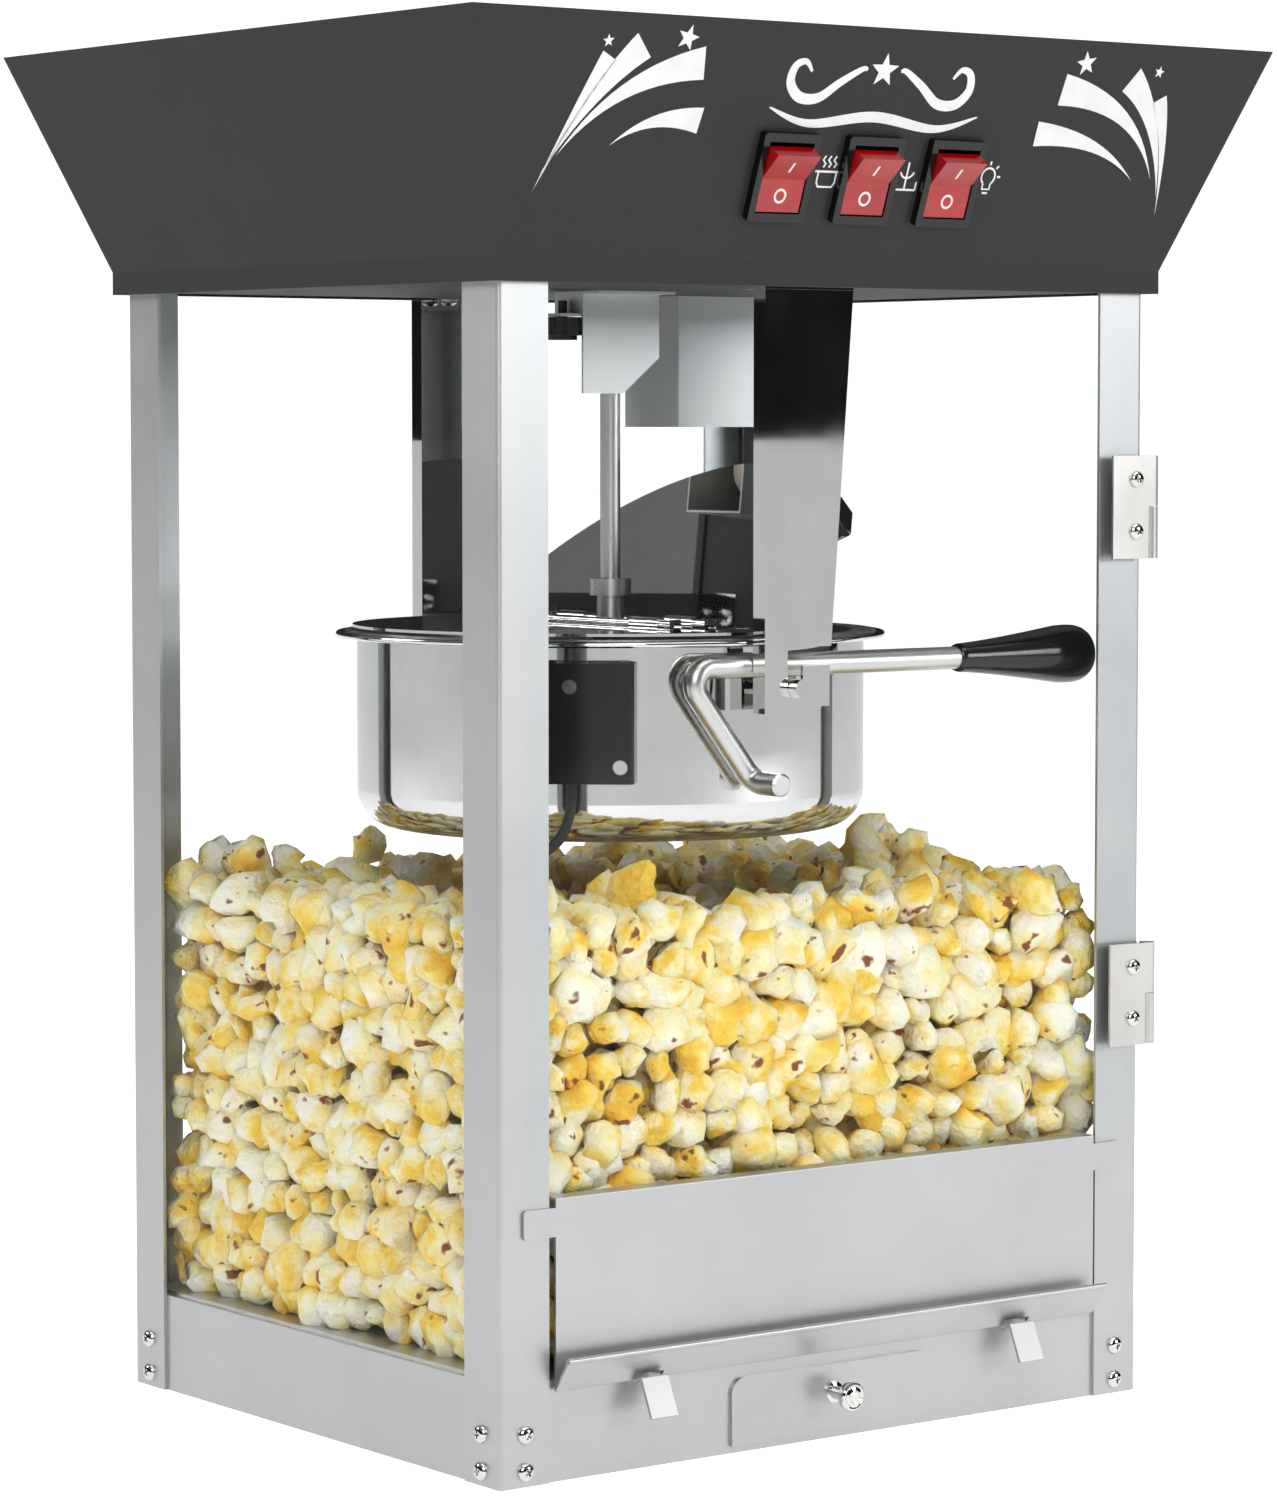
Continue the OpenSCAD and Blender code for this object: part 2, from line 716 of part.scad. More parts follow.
// Half lid lying flat, hinged on its rod; sx = 1 is the right one
module half_lid(sx, tab) {
    knuckle = [-50, 30];
    difference() {
        union() {
            intersection() {
                translate([0, 0, lid_z - 2.7]) cylinder(r = lid_r, h = 1.2, $fn = 120);
                mirror([sx < 0 ? 1 : 0, 0, 0])
                    box([lid_off, -150, lid_z - 5], [200, 150, lid_z + 5]);
            }
            for (y = knuckle) translate([sx * lid_off, y, lid_z])
                rotate([-90, 0, 0]) cylinder(r = 2.7, h = 20, $fn = 32);
            if (tab) rotate(-50.6) {
                box([112, -9, lid_z - 2.7], [122, 9, lid_z - 1.5]);
                box([120.8, -9, lid_z - 2.7], [122, 9, lid_z + 7]);
            }
        }
        translate([sx * lid_off, -61, lid_z]) rotate([-90, 0, 0]) cylinder(r = 1.6, h = 122, $fn = 32);
        for (y = [[-70, -50.3], [-29.7, 29.7], [50.3, 70]])
            box([sx * lid_off - 3, y[0], lid_z - 1.6], [sx * lid_off + 3, y[1], lid_z + 4]);
        // notches for the rod's posts
        for (y = [-62.5, 58.5])
            box([sx * lid_off - 4.6, y, lid_z - 4], [sx * lid_off + 4.6, y + 4, lid_z + 4]);
    }
}

module left_lid() {
    color(chrome) translate([kx, ky, 0]) half_lid(-1, false);
}

module right_lid() {
    color(chrome) translate([kx + lid_off, ky, lid_z]) rotate([0, -lid_angle, 0])
        translate([-lid_off, 0, -lid_z]) half_lid(1, true);
}

// Stirrer with its rod, collar and the tongue that the drive fork turns
module stirrer() {
    collar_z = 359.4;
    color(bright) translate([kx, ky, 0]) {
        translate([0, 0, 276]) cylinder(r = 4, h = 90);
        translate([0, 0, rim_pot_z + 1.5]) cylinder(d1 = 13.2, d2 = 11.6, h = collar_z - rim_pot_z);
        difference() {
            translate([0, 0, collar_z]) cylinder(d = 18.8, h = 7.4);
            rotate(205) translate([8, 0, collar_z + 3.7]) rotate([0, 90, 0]) cylinder(d = 3, h = 3, $fn = 24);
        }
        translate([0, 0, collar_z + 5]) cylinder(r = shaft_r, h = tongue_z - collar_z - 5);
        box([-4.2, -1.8, tongue_z - 1], [4.2, 1.8, tongue_z + tongue_h]);
        for (a = [0, 180]) rotate(a) {
            box([0, -1, 276], [88, 1, 286]);
            translate([88, 0, 276]) cylinder(r = 2.5, h = 24, $fn = 32);
        }
    }
}

// Trunnion block and pin on both sides of the kettle wall
module trunnions() {
    color(bright) {
        for (sy = [-1, 1]) difference() {
            box([kx - 28.5, min(sy * 104, sy * 120) + ky, 314.5],
                [kx + 28.5, max(sy * 104, sy * 120) + ky, 328]);
            translate([kx, ky, 300]) cylinder(r = kettle_r + 0.1, h = 40, $fn = 120);
        }
        rod_front(kx, ky - 119, tilt_z, tilt_pin_r, 18.5);
        rod_front(kx, ky + 132.5, tilt_z, tilt_pin_r, 13.5);
    }
}

// ---- tilt handle ----

rod_r = 5;
rod_y = -115.8;
rod_z = 333;
elbow = [-62.3, rod_z];
crank_end = [-23, 283];
crank_dir = (crank_end - elbow) / norm(crank_end - elbow);
elbow_turn = 180 - atan2(-crank_dir[1], crank_dir[0]);
elbow_r = 7.5;
elbow_cut = elbow_r * tan(elbow_turn / 2);
foot_r = 7.5;
grip_x = 90;

// Centre line of the bent rod: grip end, elbow, crank, foot turned towards the front
rod_path = concat(
    [[grip_x + 20, rod_y, rod_z]],
    [for (a = [0:elbow_turn / 12:elbow_turn])
        [elbow[0] + elbow_cut - elbow_r * sin(a), rod_y, rod_z - elbow_r * (1 - cos(a))]],
    [for (a = [0:10:90]) let (c = crank_end - crank_dir * foot_r * (1 - sin(a)))
        [c[0], rod_y - foot_r * (1 - cos(a)), c[1]]],
    [[crank_end[0], rod_y - foot_r - 12, crank_end[1]],
        [crank_end[0], rod_y - foot_r - 13, crank_end[1]]]);

module tilt_handle() {
    last = len(rod_path) - 1;
    color(bright) tube_rings(rod_path, [for (k = [0:last]) k == last ? rod_r - 1 : rod_r], 32);
}

module handle_grip() {
    color(black) translate([grip_x, rod_y, rod_z]) rotate([0, 90, 0]) difference() {
        union() {
            cylinder(r1 = 5.9, r2 = 6.4, h = 2, $fn = 64);
            translate([0, 0, 2]) cylinder(r1 = 6.4, r2 = 12.6, h = 58, $fn = 64);
            translate([0, 0, 60]) cylinder(r1 = 12.6, r2 = 13, h = 7, $fn = 64);
            translate([0, 0, 67]) cylinder(r1 = 13, r2 = 11.8, h = 5, $fn = 64);
            translate([0, 0, 72]) cylinder(r1 = 11.8, r2 = 8.5, h = 3, $fn = 64);
        }
        translate([0, 0, -1]) cylinder(r = rod_r + 0.05, h = 21.1, $fn = 48);
    }
}

// ---- kettle wiring ----

box_dir = 228;
box_out = 127;

module terminal_box() {
    color(black) translate([kx, ky, 284]) rotate(box_dir) difference() {
        linear_extrude(51) difference() {
            translate([(box_out + 100) / 2, 0]) round_rect(box_out - 100, 44, 3);
            circle(kettle_r + 0.1, $fn = 120);
        }
        translate([113, 1, 44]) cylinder(d = 9.5, h = 10, $fn = 32);
        translate([box_out - 4, -5.5, 41]) rotate([0, 90, 0]) cylinder(d = 6.6, h = 8, $fn = 32);
        translate([box_out - 4, 16, 7]) rotate([0, 90, 0]) cylinder(d = 6.6, h = 8, $fn = 32);
        translate([120, -5, -1]) cylinder(d = 6, h = 8, $fn = 32);
    }
}

module terminal_screws() {
    color(chrome) translate([kx, ky, 284]) rotate(box_dir)
        for (p = [[-5.5, 41], [16, 7]])
            translate([box_out - 4, p[0], p[1]]) rotate([0, 90, 0]) cylinder(d = 6.2, h = 1.6, $fn = 32);
}

// Lead from the terminal box, round below it and up inside the front left post
cable_r = 2.3;
cable_route = [
    [-94.5, -82.8, 290.6], [-94.5, -82.8, 284], [-96, -84, 273], [-104, -88, 262], [-118, -94, 257],
    [-132, -101, 264], [-141, -107, 284], [-145, -111, 325], [-146, -112, 400], [-146, -112, rim_z + 0.9]
];

// Catmull-Rom point of the route at parameter u
function route_at(p, u) = let (
        i = min(floor(u), len(p) - 2), t = u - i,
        a = p[max(i - 1, 0)], b = p[i], c = p[i + 1], d = p[min(i + 2, len(p) - 1)])
    0.5 * (2 * b + (c - a) * t + (2 * a - 5 * b + 4 * c - d) * t * t
        + (3 * b - a - 3 * c + d) * t * t * t);

// Round tube whose rings, one radius each, stand on the points of a path
module tube_rings(at, r, sides) {
    n = len(at) - 1;
    dir = [for (k = [0:n]) let (d = at[min(k + 1, n)] - at[max(k - 1, 0)]) d / norm(d)];
    points = [for (k = [0:n]) let (
            u0 = cross(dir[k], [-0.6, 0.8, 0]), u = u0 / norm(u0), v = cross(dir[k], u))
        for (s = [0:sides - 1]) at[k] + r[k] * (cos(360 * s / sides) * u + sin(360 * s / sides) * v)];
    faces = concat(
        [[for (s = [0:sides - 1]) s]],
        [[for (s = [sides - 1:-1:0]) n * sides + s]],
        [for (k = [0:n - 1], s = [0:sides - 1]) let (m = (s + 1) % sides)
            [k * sides + m, k * sides + s, (k + 1) * sides + s, (k + 1) * sides + m]]);
    polyhedron(points, faces, convexity = 6);
}

module kettle_cable() {
    rings = 54;
    color(black) tube_rings(
        [for (k = [0:rings]) route_at(cable_route, k * (len(cable_route) - 1) / rings)],
        [for (k = [0:rings]) cable_r], 8);
}

module mains_gland() {
    color(black) on_rear_flare(110, 40) difference() {
        union() {
            translate([0, 0, -8]) cylinder(d = 16, h = 12, $fn = 48);
            cylinder(d = 22, h = 4, $fn = 6);
            translate([0, 0, 4]) cylinder(d = 18, h = 8, $fn = 48);
            translate([0, 0, -6.5]) cylinder(d = 22, h = 5, $fn = 6);
        }
        translate([0, 0, -9]) cylinder(d = 8, h = 22, $fn = 48);
    }
}

// ---- node switch ----

corner_post(-1, -1);  // post_front_left
corner_post(1, -1);  // post_front_right
corner_post(-1, 1);  // post_rear_left
corner_post(1, 1);  // post_rear_right
front_rail();
rear_rail();
side_rail(-1);  // left_rail
side_rail(1);  // right_rail
base_floor();
rubber_feet();
post_screws();
popcorn_deck();
crumb_drawer();
drawer_front();
drawer_knob();
serving_shelf();
shelf_hooks();
side_glass(-1);  // left_glass
side_glass(1);  // right_glass
rear_glass();
door_glass();
door_leaves();
post_leaves();
hinge_pins();
door_leaf_screws();
post_leaf_screws();
roof_shell();
roof_cover();
ceiling_plate();
switch_housings();
rocker(0);  // kettle_switch
rocker(1);  // stirrer_switch
rocker(2);  // lamp_switch
gear_motor();
gearbox();
drive_shaft();
shaft_bracket();
shaft_bushing();
thumb_knob();
lamp_shade();
lamp_holder();
warming_bulb();
hanger_arm(arm_front_y, 1);  // front_arm
hanger_arm(arm_rear_y, -1);  // rear_arm
arm_screws();
kettle_shell();
kettle_pot();
heating_element();
lid_bridge();
left_lid();
right_lid();
stirrer();
trunnions();
tilt_handle();
handle_grip();
terminal_box();
terminal_screws();
kettle_cable();
mains_gland();
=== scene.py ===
import math
import random

import bmesh
import bpy
from mathutils import Matrix, Vector, noise


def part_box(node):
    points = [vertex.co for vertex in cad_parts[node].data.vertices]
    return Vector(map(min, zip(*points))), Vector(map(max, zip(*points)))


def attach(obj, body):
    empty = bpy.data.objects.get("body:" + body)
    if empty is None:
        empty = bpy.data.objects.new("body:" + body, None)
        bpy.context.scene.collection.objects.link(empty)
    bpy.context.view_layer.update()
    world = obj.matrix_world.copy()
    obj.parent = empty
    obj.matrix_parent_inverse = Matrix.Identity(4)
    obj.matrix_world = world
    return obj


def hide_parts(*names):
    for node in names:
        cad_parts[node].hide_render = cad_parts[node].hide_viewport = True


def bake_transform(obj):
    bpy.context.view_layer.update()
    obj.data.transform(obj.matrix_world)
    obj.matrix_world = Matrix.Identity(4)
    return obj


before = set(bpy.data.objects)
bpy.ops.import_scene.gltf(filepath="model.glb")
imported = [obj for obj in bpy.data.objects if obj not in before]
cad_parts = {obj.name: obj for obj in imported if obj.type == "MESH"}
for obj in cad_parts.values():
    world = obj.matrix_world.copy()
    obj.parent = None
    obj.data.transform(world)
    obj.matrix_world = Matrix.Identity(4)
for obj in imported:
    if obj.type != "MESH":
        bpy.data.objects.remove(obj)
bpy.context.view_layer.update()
scene = bpy.context.scene
mm = 0.001
print("frame loaded:", len(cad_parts), "nodes")


# Small tools for materials

def linearColour(hexCode):
    # sRGB hex code to linear RGBA
    steps = [int(hexCode[i:i + 2], 16) / 255 for i in (1, 3, 5)]
    return tuple(s / 12.92 if s <= 0.04045 else ((s + 0.055) / 1.055) ** 2.4 for s in steps) + (1.0,)


def addNode(tree, kind, settings=None, links=None):
    # settings: lower-case keys are node properties, the others are sockets; "stops" fills a colour ramp
    node = tree.nodes.new(kind)
    for key, value in (settings or {}).items():
        if key == "stops":
            ramp = node.color_ramp.elements
            while len(ramp) < len(value):
                ramp.new(0.5)
            for element, (place, colour) in zip(ramp, value):
                element.position = place
                element.color = linearColour(colour)
        elif isinstance(key, str) and key[0].islower():
            setattr(node, key, value)
        else:
            node.inputs[key].default_value = value
    for key, (source, output) in (links or {}).items():
        tree.links.new(source.outputs[output], node.inputs[key])
    return node


def newMaterial(name):
    material = bpy.data.materials.new(name)
    material.use_nodes = True
    tree = material.node_tree
    return material, tree, tree.nodes["Principled BSDF"]


def makeFinish(name, look):
    # Slow blotches change colour and gloss, a fine grain lifts the surface, and both are sized in mm
    material, tree, shader = newMaterial(name)
    coords = addNode(tree, "ShaderNodeTexCoord")
    slow = addNode(tree, "ShaderNodeTexNoise",
                   {"Scale": 1000 / look.get("blotchSize", 70), "Detail": 4.0, "Roughness": 0.6},
                   {"Vector": (coords, "Object")})
    tint = addNode(tree, "ShaderNodeValToRGB",
                   {"stops": [(0.32, look["colours"][0]), (0.68, look["colours"][1])]},
                   {"Fac": (slow, "Fac")})
    low, high = look["roughness"]
    gloss = addNode(tree, "ShaderNodeMapRange",
                    {"From Min": 0.3, "From Max": 0.7, "To Min": low, "To Max": high},
                    {"Value": (slow, "Fac")})
    stretch = addNode(tree, "ShaderNodeMapping", {"Scale": look.get("grainStretch", (1, 1, 1))},
                      {"Vector": (coords, "Object")})
    fine = addNode(tree, "ShaderNodeTexNoise",
                   {"Scale": 1000 / look["grainSize"], "Detail": 3.0, "Roughness": 0.55},
                   {"Vector": (stretch, "Vector")})
    bump = addNode(tree, "ShaderNodeBump",
                   {"Strength": look.get("grainStrength", 0.5), "Distance": look["grainDepth"] * mm},
                   {"Height": (fine, "Fac")})
    shader.inputs["Metallic"].default_value = look.get("metallic", 0.0)
    if "ior" in look:
        shader.inputs["IOR"].default_value = look["ior"]
    if "coat" in look:
        shader.inputs["Coat Weight"].default_value = look["coat"]
        shader.inputs["Coat Roughness"].default_value = look.get("coatRoughness", 0.05)
    if "subsurface" in look:
        shader.inputs["Subsurface Weight"].default_value = look["subsurface"]
        shader.inputs["Subsurface Radius"].default_value = (0.003, 0.001, 0.0008)
    tree.links.new(tint.outputs["Color"], shader.inputs["Base Color"])
    tree.links.new(gloss.outputs["Result"], shader.inputs["Roughness"])
    tree.links.new(bump.outputs["Normal"], shader.inputs["Normal"])
    return material


# Finishes, one for each material slot
finishLooks = {
    # satin silver powder coat on folded mild steel: even grey with a very fine orange peel
    "cabinet_steel": {"colours": ("#b4b5b7", "#bfc0c1"), "metallic": 0.85, "roughness": (0.33, 0.41),
                      "grainSize": 0.9, "grainDepth": 0.012, "blotchSize": 120},
    # brushed 304 stainless sheet and bar: faint streaks along the length, soft reflections
    "stainless": {"colours": ("#c4c3c1", "#d2d1cf"), "metallic": 1.0, "roughness": (0.3, 0.4),
                  "grainSize": 0.35, "grainDepth": 0.01, "grainStretch": (0.05, 1, 1)},
    # mirror-polished stainless: sharp reflections dulled a little by handling
    "polished_steel": {"colours": ("#cfcecd", "#dad9d7"), "metallic": 1.0, "roughness": (0.012, 0.04),
                       "grainSize": 26, "grainDepth": 0.012, "grainStrength": 0.15, "blotchSize": 45},
    # dark grey powder coat on the pressed roof: matt, very finely pebbled
    "roof_paint": {"colours": ("#1f1f20", "#242425"), "roughness": (0.6, 0.7), "ior": 1.45,
                   "grainSize": 0.7, "grainDepth": 0.02, "blotchSize": 160},
    # spun aluminium pan: pale grey with fine turning rings
    "pot_aluminium": {"colours": ("#b7b6b3", "#c6c5c2"), "metallic": 1.0, "roughness": (0.28, 0.4),
                      "grainSize": 0.5, "grainDepth": 0.015, "grainStretch": (0.2, 0.2, 2)},
    # moulded black phenolic: deep black with a hard wet gloss
    "black_phenolic": {"colours": ("#050505", "#090909"), "roughness": (0.12, 0.2), "ior": 1.5,
                       "grainSize": 9, "grainDepth": 0.02, "grainStrength": 0.3},
    # moulded glass-filled nylon: dull black with a slight grain
    "black_nylon": {"colours": ("#0b0b0c", "#131314"), "roughness": (0.42, 0.55), "ior": 1.53,
                    "grainSize": 0.5, "grainDepth": 0.02},
    # red tinted polycarbonate rocker: saturated, glossy, slightly deep
    "red_plastic": {"colours": ("#960205", "#ab0508"), "roughness": (0.14, 0.24), "ior": 1.58,
                    "grainSize": 6, "grainDepth": 0.01, "grainStrength": 0.2, "coat": 0.3,
                    "subsurface": 0.12, "blotchSize": 20},
    # moulded rubber feet: dusty near-black
    "rubber": {"colours": ("#141414", "#1f1e1d"), "roughness": (0.75, 0.9), "ior": 1.52,
               "grainSize": 0.6, "grainDepth": 0.04},
    # enamelled motor can: mid grey satin
    "motor_steel": {"colours": ("#5c5d60", "#6a6b6e"), "metallic": 0.6, "roughness": (0.35, 0.5),
                    "grainSize": 0.8, "grainDepth": 0.02},
    # nickel alloy sheath after heating: brown-grey with a straw cast
    "element_alloy": {"colours": ("#4d463f", "#7a6d58"), "metallic": 0.9, "roughness": (0.4, 0.6),
                      "grainSize": 1.2, "grainDepth": 0.03, "blotchSize": 18},
    # oil-soaked sintered bronze: dull brown-gold
    "bronze": {"colours": ("#8a6a3a", "#a17f4b"), "metallic": 1.0, "roughness": (0.3, 0.45),
               "grainSize": 0.4, "grainDepth": 0.02, "blotchSize": 12},
    # glazed porcelain lamp holder: warm white with a clear glaze
    "porcelain": {"colours": ("#e6e2d9", "#efece5"), "roughness": (0.12, 0.2), "ior": 1.5,
                  "grainSize": 8, "grainDepth": 0.03, "grainStrength": 0.2, "coat": 0.6},
    # frosted bulb glass: chalky warm white, slightly cloudy
    "bulb_glass": {"colours": ("#e9dfc8", "#f4ecd8"), "roughness": (0.25, 0.35), "ior": 1.5,
                   "grainSize": 1.5, "grainDepth": 0.01, "subsurface": 0.3, "blotchSize": 25},
    # braided silicone sleeve over flex: soft black
    "cable_sheath": {"colours": ("#101010", "#1a1a1a"), "roughness": (0.45, 0.6), "ior": 1.45,
                     "grainSize": 0.5, "grainDepth": 0.05},
    # screen-printed white ink: flat off-white, slightly uneven where the squeegee passed
    "ink": {"colours": ("#dcdcdb", "#e8e8e7"), "roughness": (0.45, 0.6), "ior": 1.5,
            "grainSize": 0.4, "grainDepth": 0.008, "blotchSize": 14},
}


def makeGlass(look):
    # Toughened float glass: clear with a green cast, thin reflections and a few wiped smudges
    material, tree, shader = newMaterial("tempered_glass")
    tree.nodes.remove(shader)
    coords = addNode(tree, "ShaderNodeTexCoord")
    smudge = addNode(tree, "ShaderNodeTexNoise",
                     {"Scale": 1000 / look["smudgeSize"], "Detail": 5.0, "Roughness": 0.65},
                     {"Vector": (coords, "Object")})
    haze = addNode(tree, "ShaderNodeMapRange",
                   {"From Min": 0.45, "From Max": 0.75, "To Min": 0.0, "To Max": look["haze"]},
                   {"Value": (smudge, "Fac")})
    clear = addNode(tree, "ShaderNodeBsdfTransparent", {"Color": linearColour(look["tint"])})
    mirror = addNode(tree, "ShaderNodeBsdfAnisotropic", {"Color": (1, 1, 1, 1)},
                     {"Roughness": (haze, "Result")})
    edge = addNode(tree, "ShaderNodeFresnel", {"IOR": 1.5})
    side = addNode(tree, "ShaderNodeNewGeometry")
    outer = addNode(tree, "ShaderNodeMapRange", {"To Min": look["reflection"], "To Max": 0.0},
                    {"Value": (side, "Backfacing")})  # the far face of a pane adds no second mirror
    share = addNode(tree, "ShaderNodeMath", {"operation": "MULTIPLY"},
                    {0: (edge, "Fac"), 1: (outer, "Result")})
    mix = addNode(tree, "ShaderNodeMixShader", {},
                  {0: (share, "Value"), 1: (clear, "BSDF"), 2: (mirror, "BSDF")})
    tree.links.new(mix.outputs["Shader"], tree.nodes["Material Output"].inputs["Surface"])
    return material


glassLook = {"tint": "#feffff", "haze": 0.1, "smudgeSize": 60, "reflection": 0.2}

finishes = {name: makeFinish(name, look) for name, look in finishLooks.items()}
finishes["tempered_glass"] = makeGlass(glassLook)

nodeSlots = {
    "cabinet_steel": ("post_front_left", "post_front_right", "post_rear_left", "post_rear_right",
                      "front_rail", "rear_rail", "left_rail", "right_rail", "base_floor", "drawer_front",
                      "serving_shelf", "shelf_hooks", "crumb_drawer", "shaft_bracket", "lamp_shade"),
    "stainless": ("popcorn_deck", "door_leaves", "post_leaves", "drive_shaft", "stirrer",
                  "tilt_handle", "gearbox"),
    "polished_steel": ("post_screws", "drawer_knob", "hinge_pins", "door_leaf_screws",
                       "post_leaf_screws", "front_arm", "rear_arm", "arm_screws", "kettle_shell",
                       "lid_bridge", "left_lid", "right_lid", "trunnions", "terminal_screws"),
    "roof_paint": ("roof_shell", "roof_cover", "ceiling_plate"),
    "tempered_glass": ("left_glass", "right_glass", "rear_glass", "door_glass"),
    "pot_aluminium": ("kettle_pot",),
    "black_phenolic": ("handle_grip", "terminal_box", "switch_housings"),
    "black_nylon": ("thumb_knob", "mains_gland"),
    "red_plastic": ("kettle_switch", "stirrer_switch", "lamp_switch"),
    "rubber": ("rubber_feet",),
    "motor_steel": ("gear_motor",),
    "element_alloy": ("heating_element",),
    "bronze": ("shaft_bushing",),
    "porcelain": ("lamp_holder",),
    "bulb_glass": ("warming_bulb",),
    "cable_sheath": ("kettle_cable",),
}
for slotName, members in nodeSlots.items():
    for member in members:
        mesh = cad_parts[member].data
        mesh.materials.clear()
        mesh.materials.append(finishes[slotName])
print("finishes on the frame:", sum(len(m) for m in nodeSlots.values()), "nodes")


# Small tools for pieces

def objectFrom(bm, name):
    bmesh.ops.remove_doubles(bm, verts=bm.verts, dist=1e-6)
    bmesh.ops.recalc_face_normals(bm, faces=bm.faces)
    mesh = bpy.data.meshes.new(name)
    bm.to_mesh(mesh)
    bm.free()
    thing = bpy.data.objects.new(name, mesh)
    scene.collection.objects.link(thing)
    return thing


def finishPiece(bm, name, finish, body, replaced=(), smoothAngle=35):
    piece = objectFrom(bm, name)
    for face in piece.data.polygons:
        face.use_smooth = True
    piece.data.set_sharp_from_angle(angle=math.radians(smoothAngle))
    piece.data.materials.append(finishes[finish])
    if body:
        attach(piece, body)
    if replaced:
        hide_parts(*replaced)
    return piece


def spinProfile(profile, place, steps=64):
    # profile: (radius, height) pairs in mm, turned about the local Z axis
    bm = bmesh.new()
    outline = [bm.verts.new((r * mm, 0, h * mm)) for r, h in profile]
    edges = [bm.edges.new(pair) for pair in zip(outline, outline[1:])]
    bmesh.ops.spin(bm, geom=outline + edges, cent=(0, 0, 0), axis=(0, 0, 1), angle=math.tau,
                   steps=steps, use_merge=True)
    bmesh.ops.remove_doubles(bm, verts=bm.verts, dist=1e-6)
    bmesh.ops.transform(bm, matrix=place, verts=bm.verts)
    return bm


def smoothPath(points, perSpan):
    # Catmull-Rom points through the given ones
    path = []
    last = len(points) - 1
    for i in range(last):
        a, b, c, d = (Vector(points[min(max(k, 0), last)]) for k in (i - 1, i, i + 1, i + 2))
        for step in range(perSpan):
            t = step / perSpan
            path.append(0.5 * (2 * b + (c - a) * t + (2 * a - 5 * b + 4 * c - d) * t * t
                               + (3 * b - a - 3 * c + d) * t * t * t))
    return path + [Vector(points[last])]


def tubeMesh(points, radius, sides=8, tips=None):
    # Round tube along points in mm; tips gives each point's share of the radius
    curve = bpy.data.curves.new("tube", "CURVE")
    curve.dimensions = "3D"
    curve.bevel_depth = radius * mm
    curve.bevel_resolution = max(sides // 4, 1)
    curve.use_fill_caps = True
    spline = curve.splines.new("POLY")
    spline.points.add(len(points) - 1)
    for i, point in enumerate(points):
        spline.points[i].co = (point[0] * mm, point[1] * mm, point[2] * mm, 1)
        spline.points[i].radius = tips[i] if tips else 1.0
    thing = bpy.data.objects.new("tube", curve)
    mesh = bpy.data.meshes.new_from_object(thing)
    bpy.data.objects.remove(thing)
    bm = bmesh.new()
    bm.from_mesh(mesh)
    bpy.data.meshes.remove(mesh)
    return bm


def joinInto(target, source, place=None):
    # Adds a copy of one bmesh to another
    mesh = bpy.data.meshes.new("part")
    source.to_mesh(mesh)
    if place:
        mesh.transform(place)
    target.from_mesh(mesh)
    bpy.data.meshes.remove(mesh)


def turn(degrees, axis):
    return Matrix.Rotation(math.radians(degrees), 4, axis)


def shift(x, y, z):
    return Matrix.Translation((x * mm, y * mm, z * mm))


# Screws: pan heads with a pressed cross recess, each stopped at its own angle
screwLook = {"dome": [(0, 1), (0.4, 0.97), (0.68, 0.84), (0.87, 0.6), (0.97, 0.32), (1, 0.1)],
             "sunk": 0.6, "steps": 40, "smoothAngle": 30, "seed": 7,
             "recessWidth": 1.05, "recessSpan": 0.56, "recessDepth": 1.5, "recessTaper": (0.55, 0.7),
             "railHead": (8, 2.5), "railHeights": (8.2, 23.5), "cabinetHalf": (175, 143), "inset": 12.9,
             "leafHead": (7.6, 2.4), "leafHeights": (171, 194, 388, 411),
             "doorLeaf": (167, -148.5), "postLeaf": (176.2, -129)}
random.seed(screwLook["seed"])


def screwHead(diameter, height):
    # A domed head with two crossed cutters taken out of it
    r, sunk = diameter / 2, screwLook["sunk"]
    profile = [(r * across, height * up) for across, up in screwLook["dome"]] + [(r, -sunk), (0, -sunk)]
    head = objectFrom(spinProfile(profile, Matrix(), screwLook["steps"]), "head")
    recess = (diameter * screwLook["recessSpan"] * mm, screwLook["recessWidth"] * mm,
              2 * screwLook["recessDepth"] * mm)
    taperX, taperY = screwLook["recessTaper"]
    cutters = []
    for angle in (0, 90):
        bm = bmesh.new()
        bmesh.ops.create_cube(bm, size=1)
        bmesh.ops.scale(bm, verts=bm.verts, vec=recess)
        for v in bm.verts:
            if v.co.z < 0:
                v.co.x *= taperX
                v.co.y *= taperY
        bmesh.ops.transform(bm, matrix=shift(0, 0, height) @ turn(angle, "Z"), verts=bm.verts)
        cutter = objectFrom(bm, "cutter")
        cut = head.modifiers.new("recess", "BOOLEAN")
        cut.object = cutter
        cut.solver = "EXACT"
        cutters.append(cutter)
    evaluated = head.evaluated_get(bpy.context.evaluated_depsgraph_get())
    bm = bmesh.new()
    bm.from_mesh(bpy.data.meshes.new_from_object(evaluated))
    for thing in [head] + cutters:
        bpy.data.objects.remove(thing)
    return bm


def placeScrews(name, body, node, head, places):
    bm = bmesh.new()
    for place in places:
        joinInto(bm, head, place @ turn(random.uniform(0, 90), "Z"))
    finishPiece(bm, name, "polished_steel", body, (node,), screwLook["smoothAngle"])


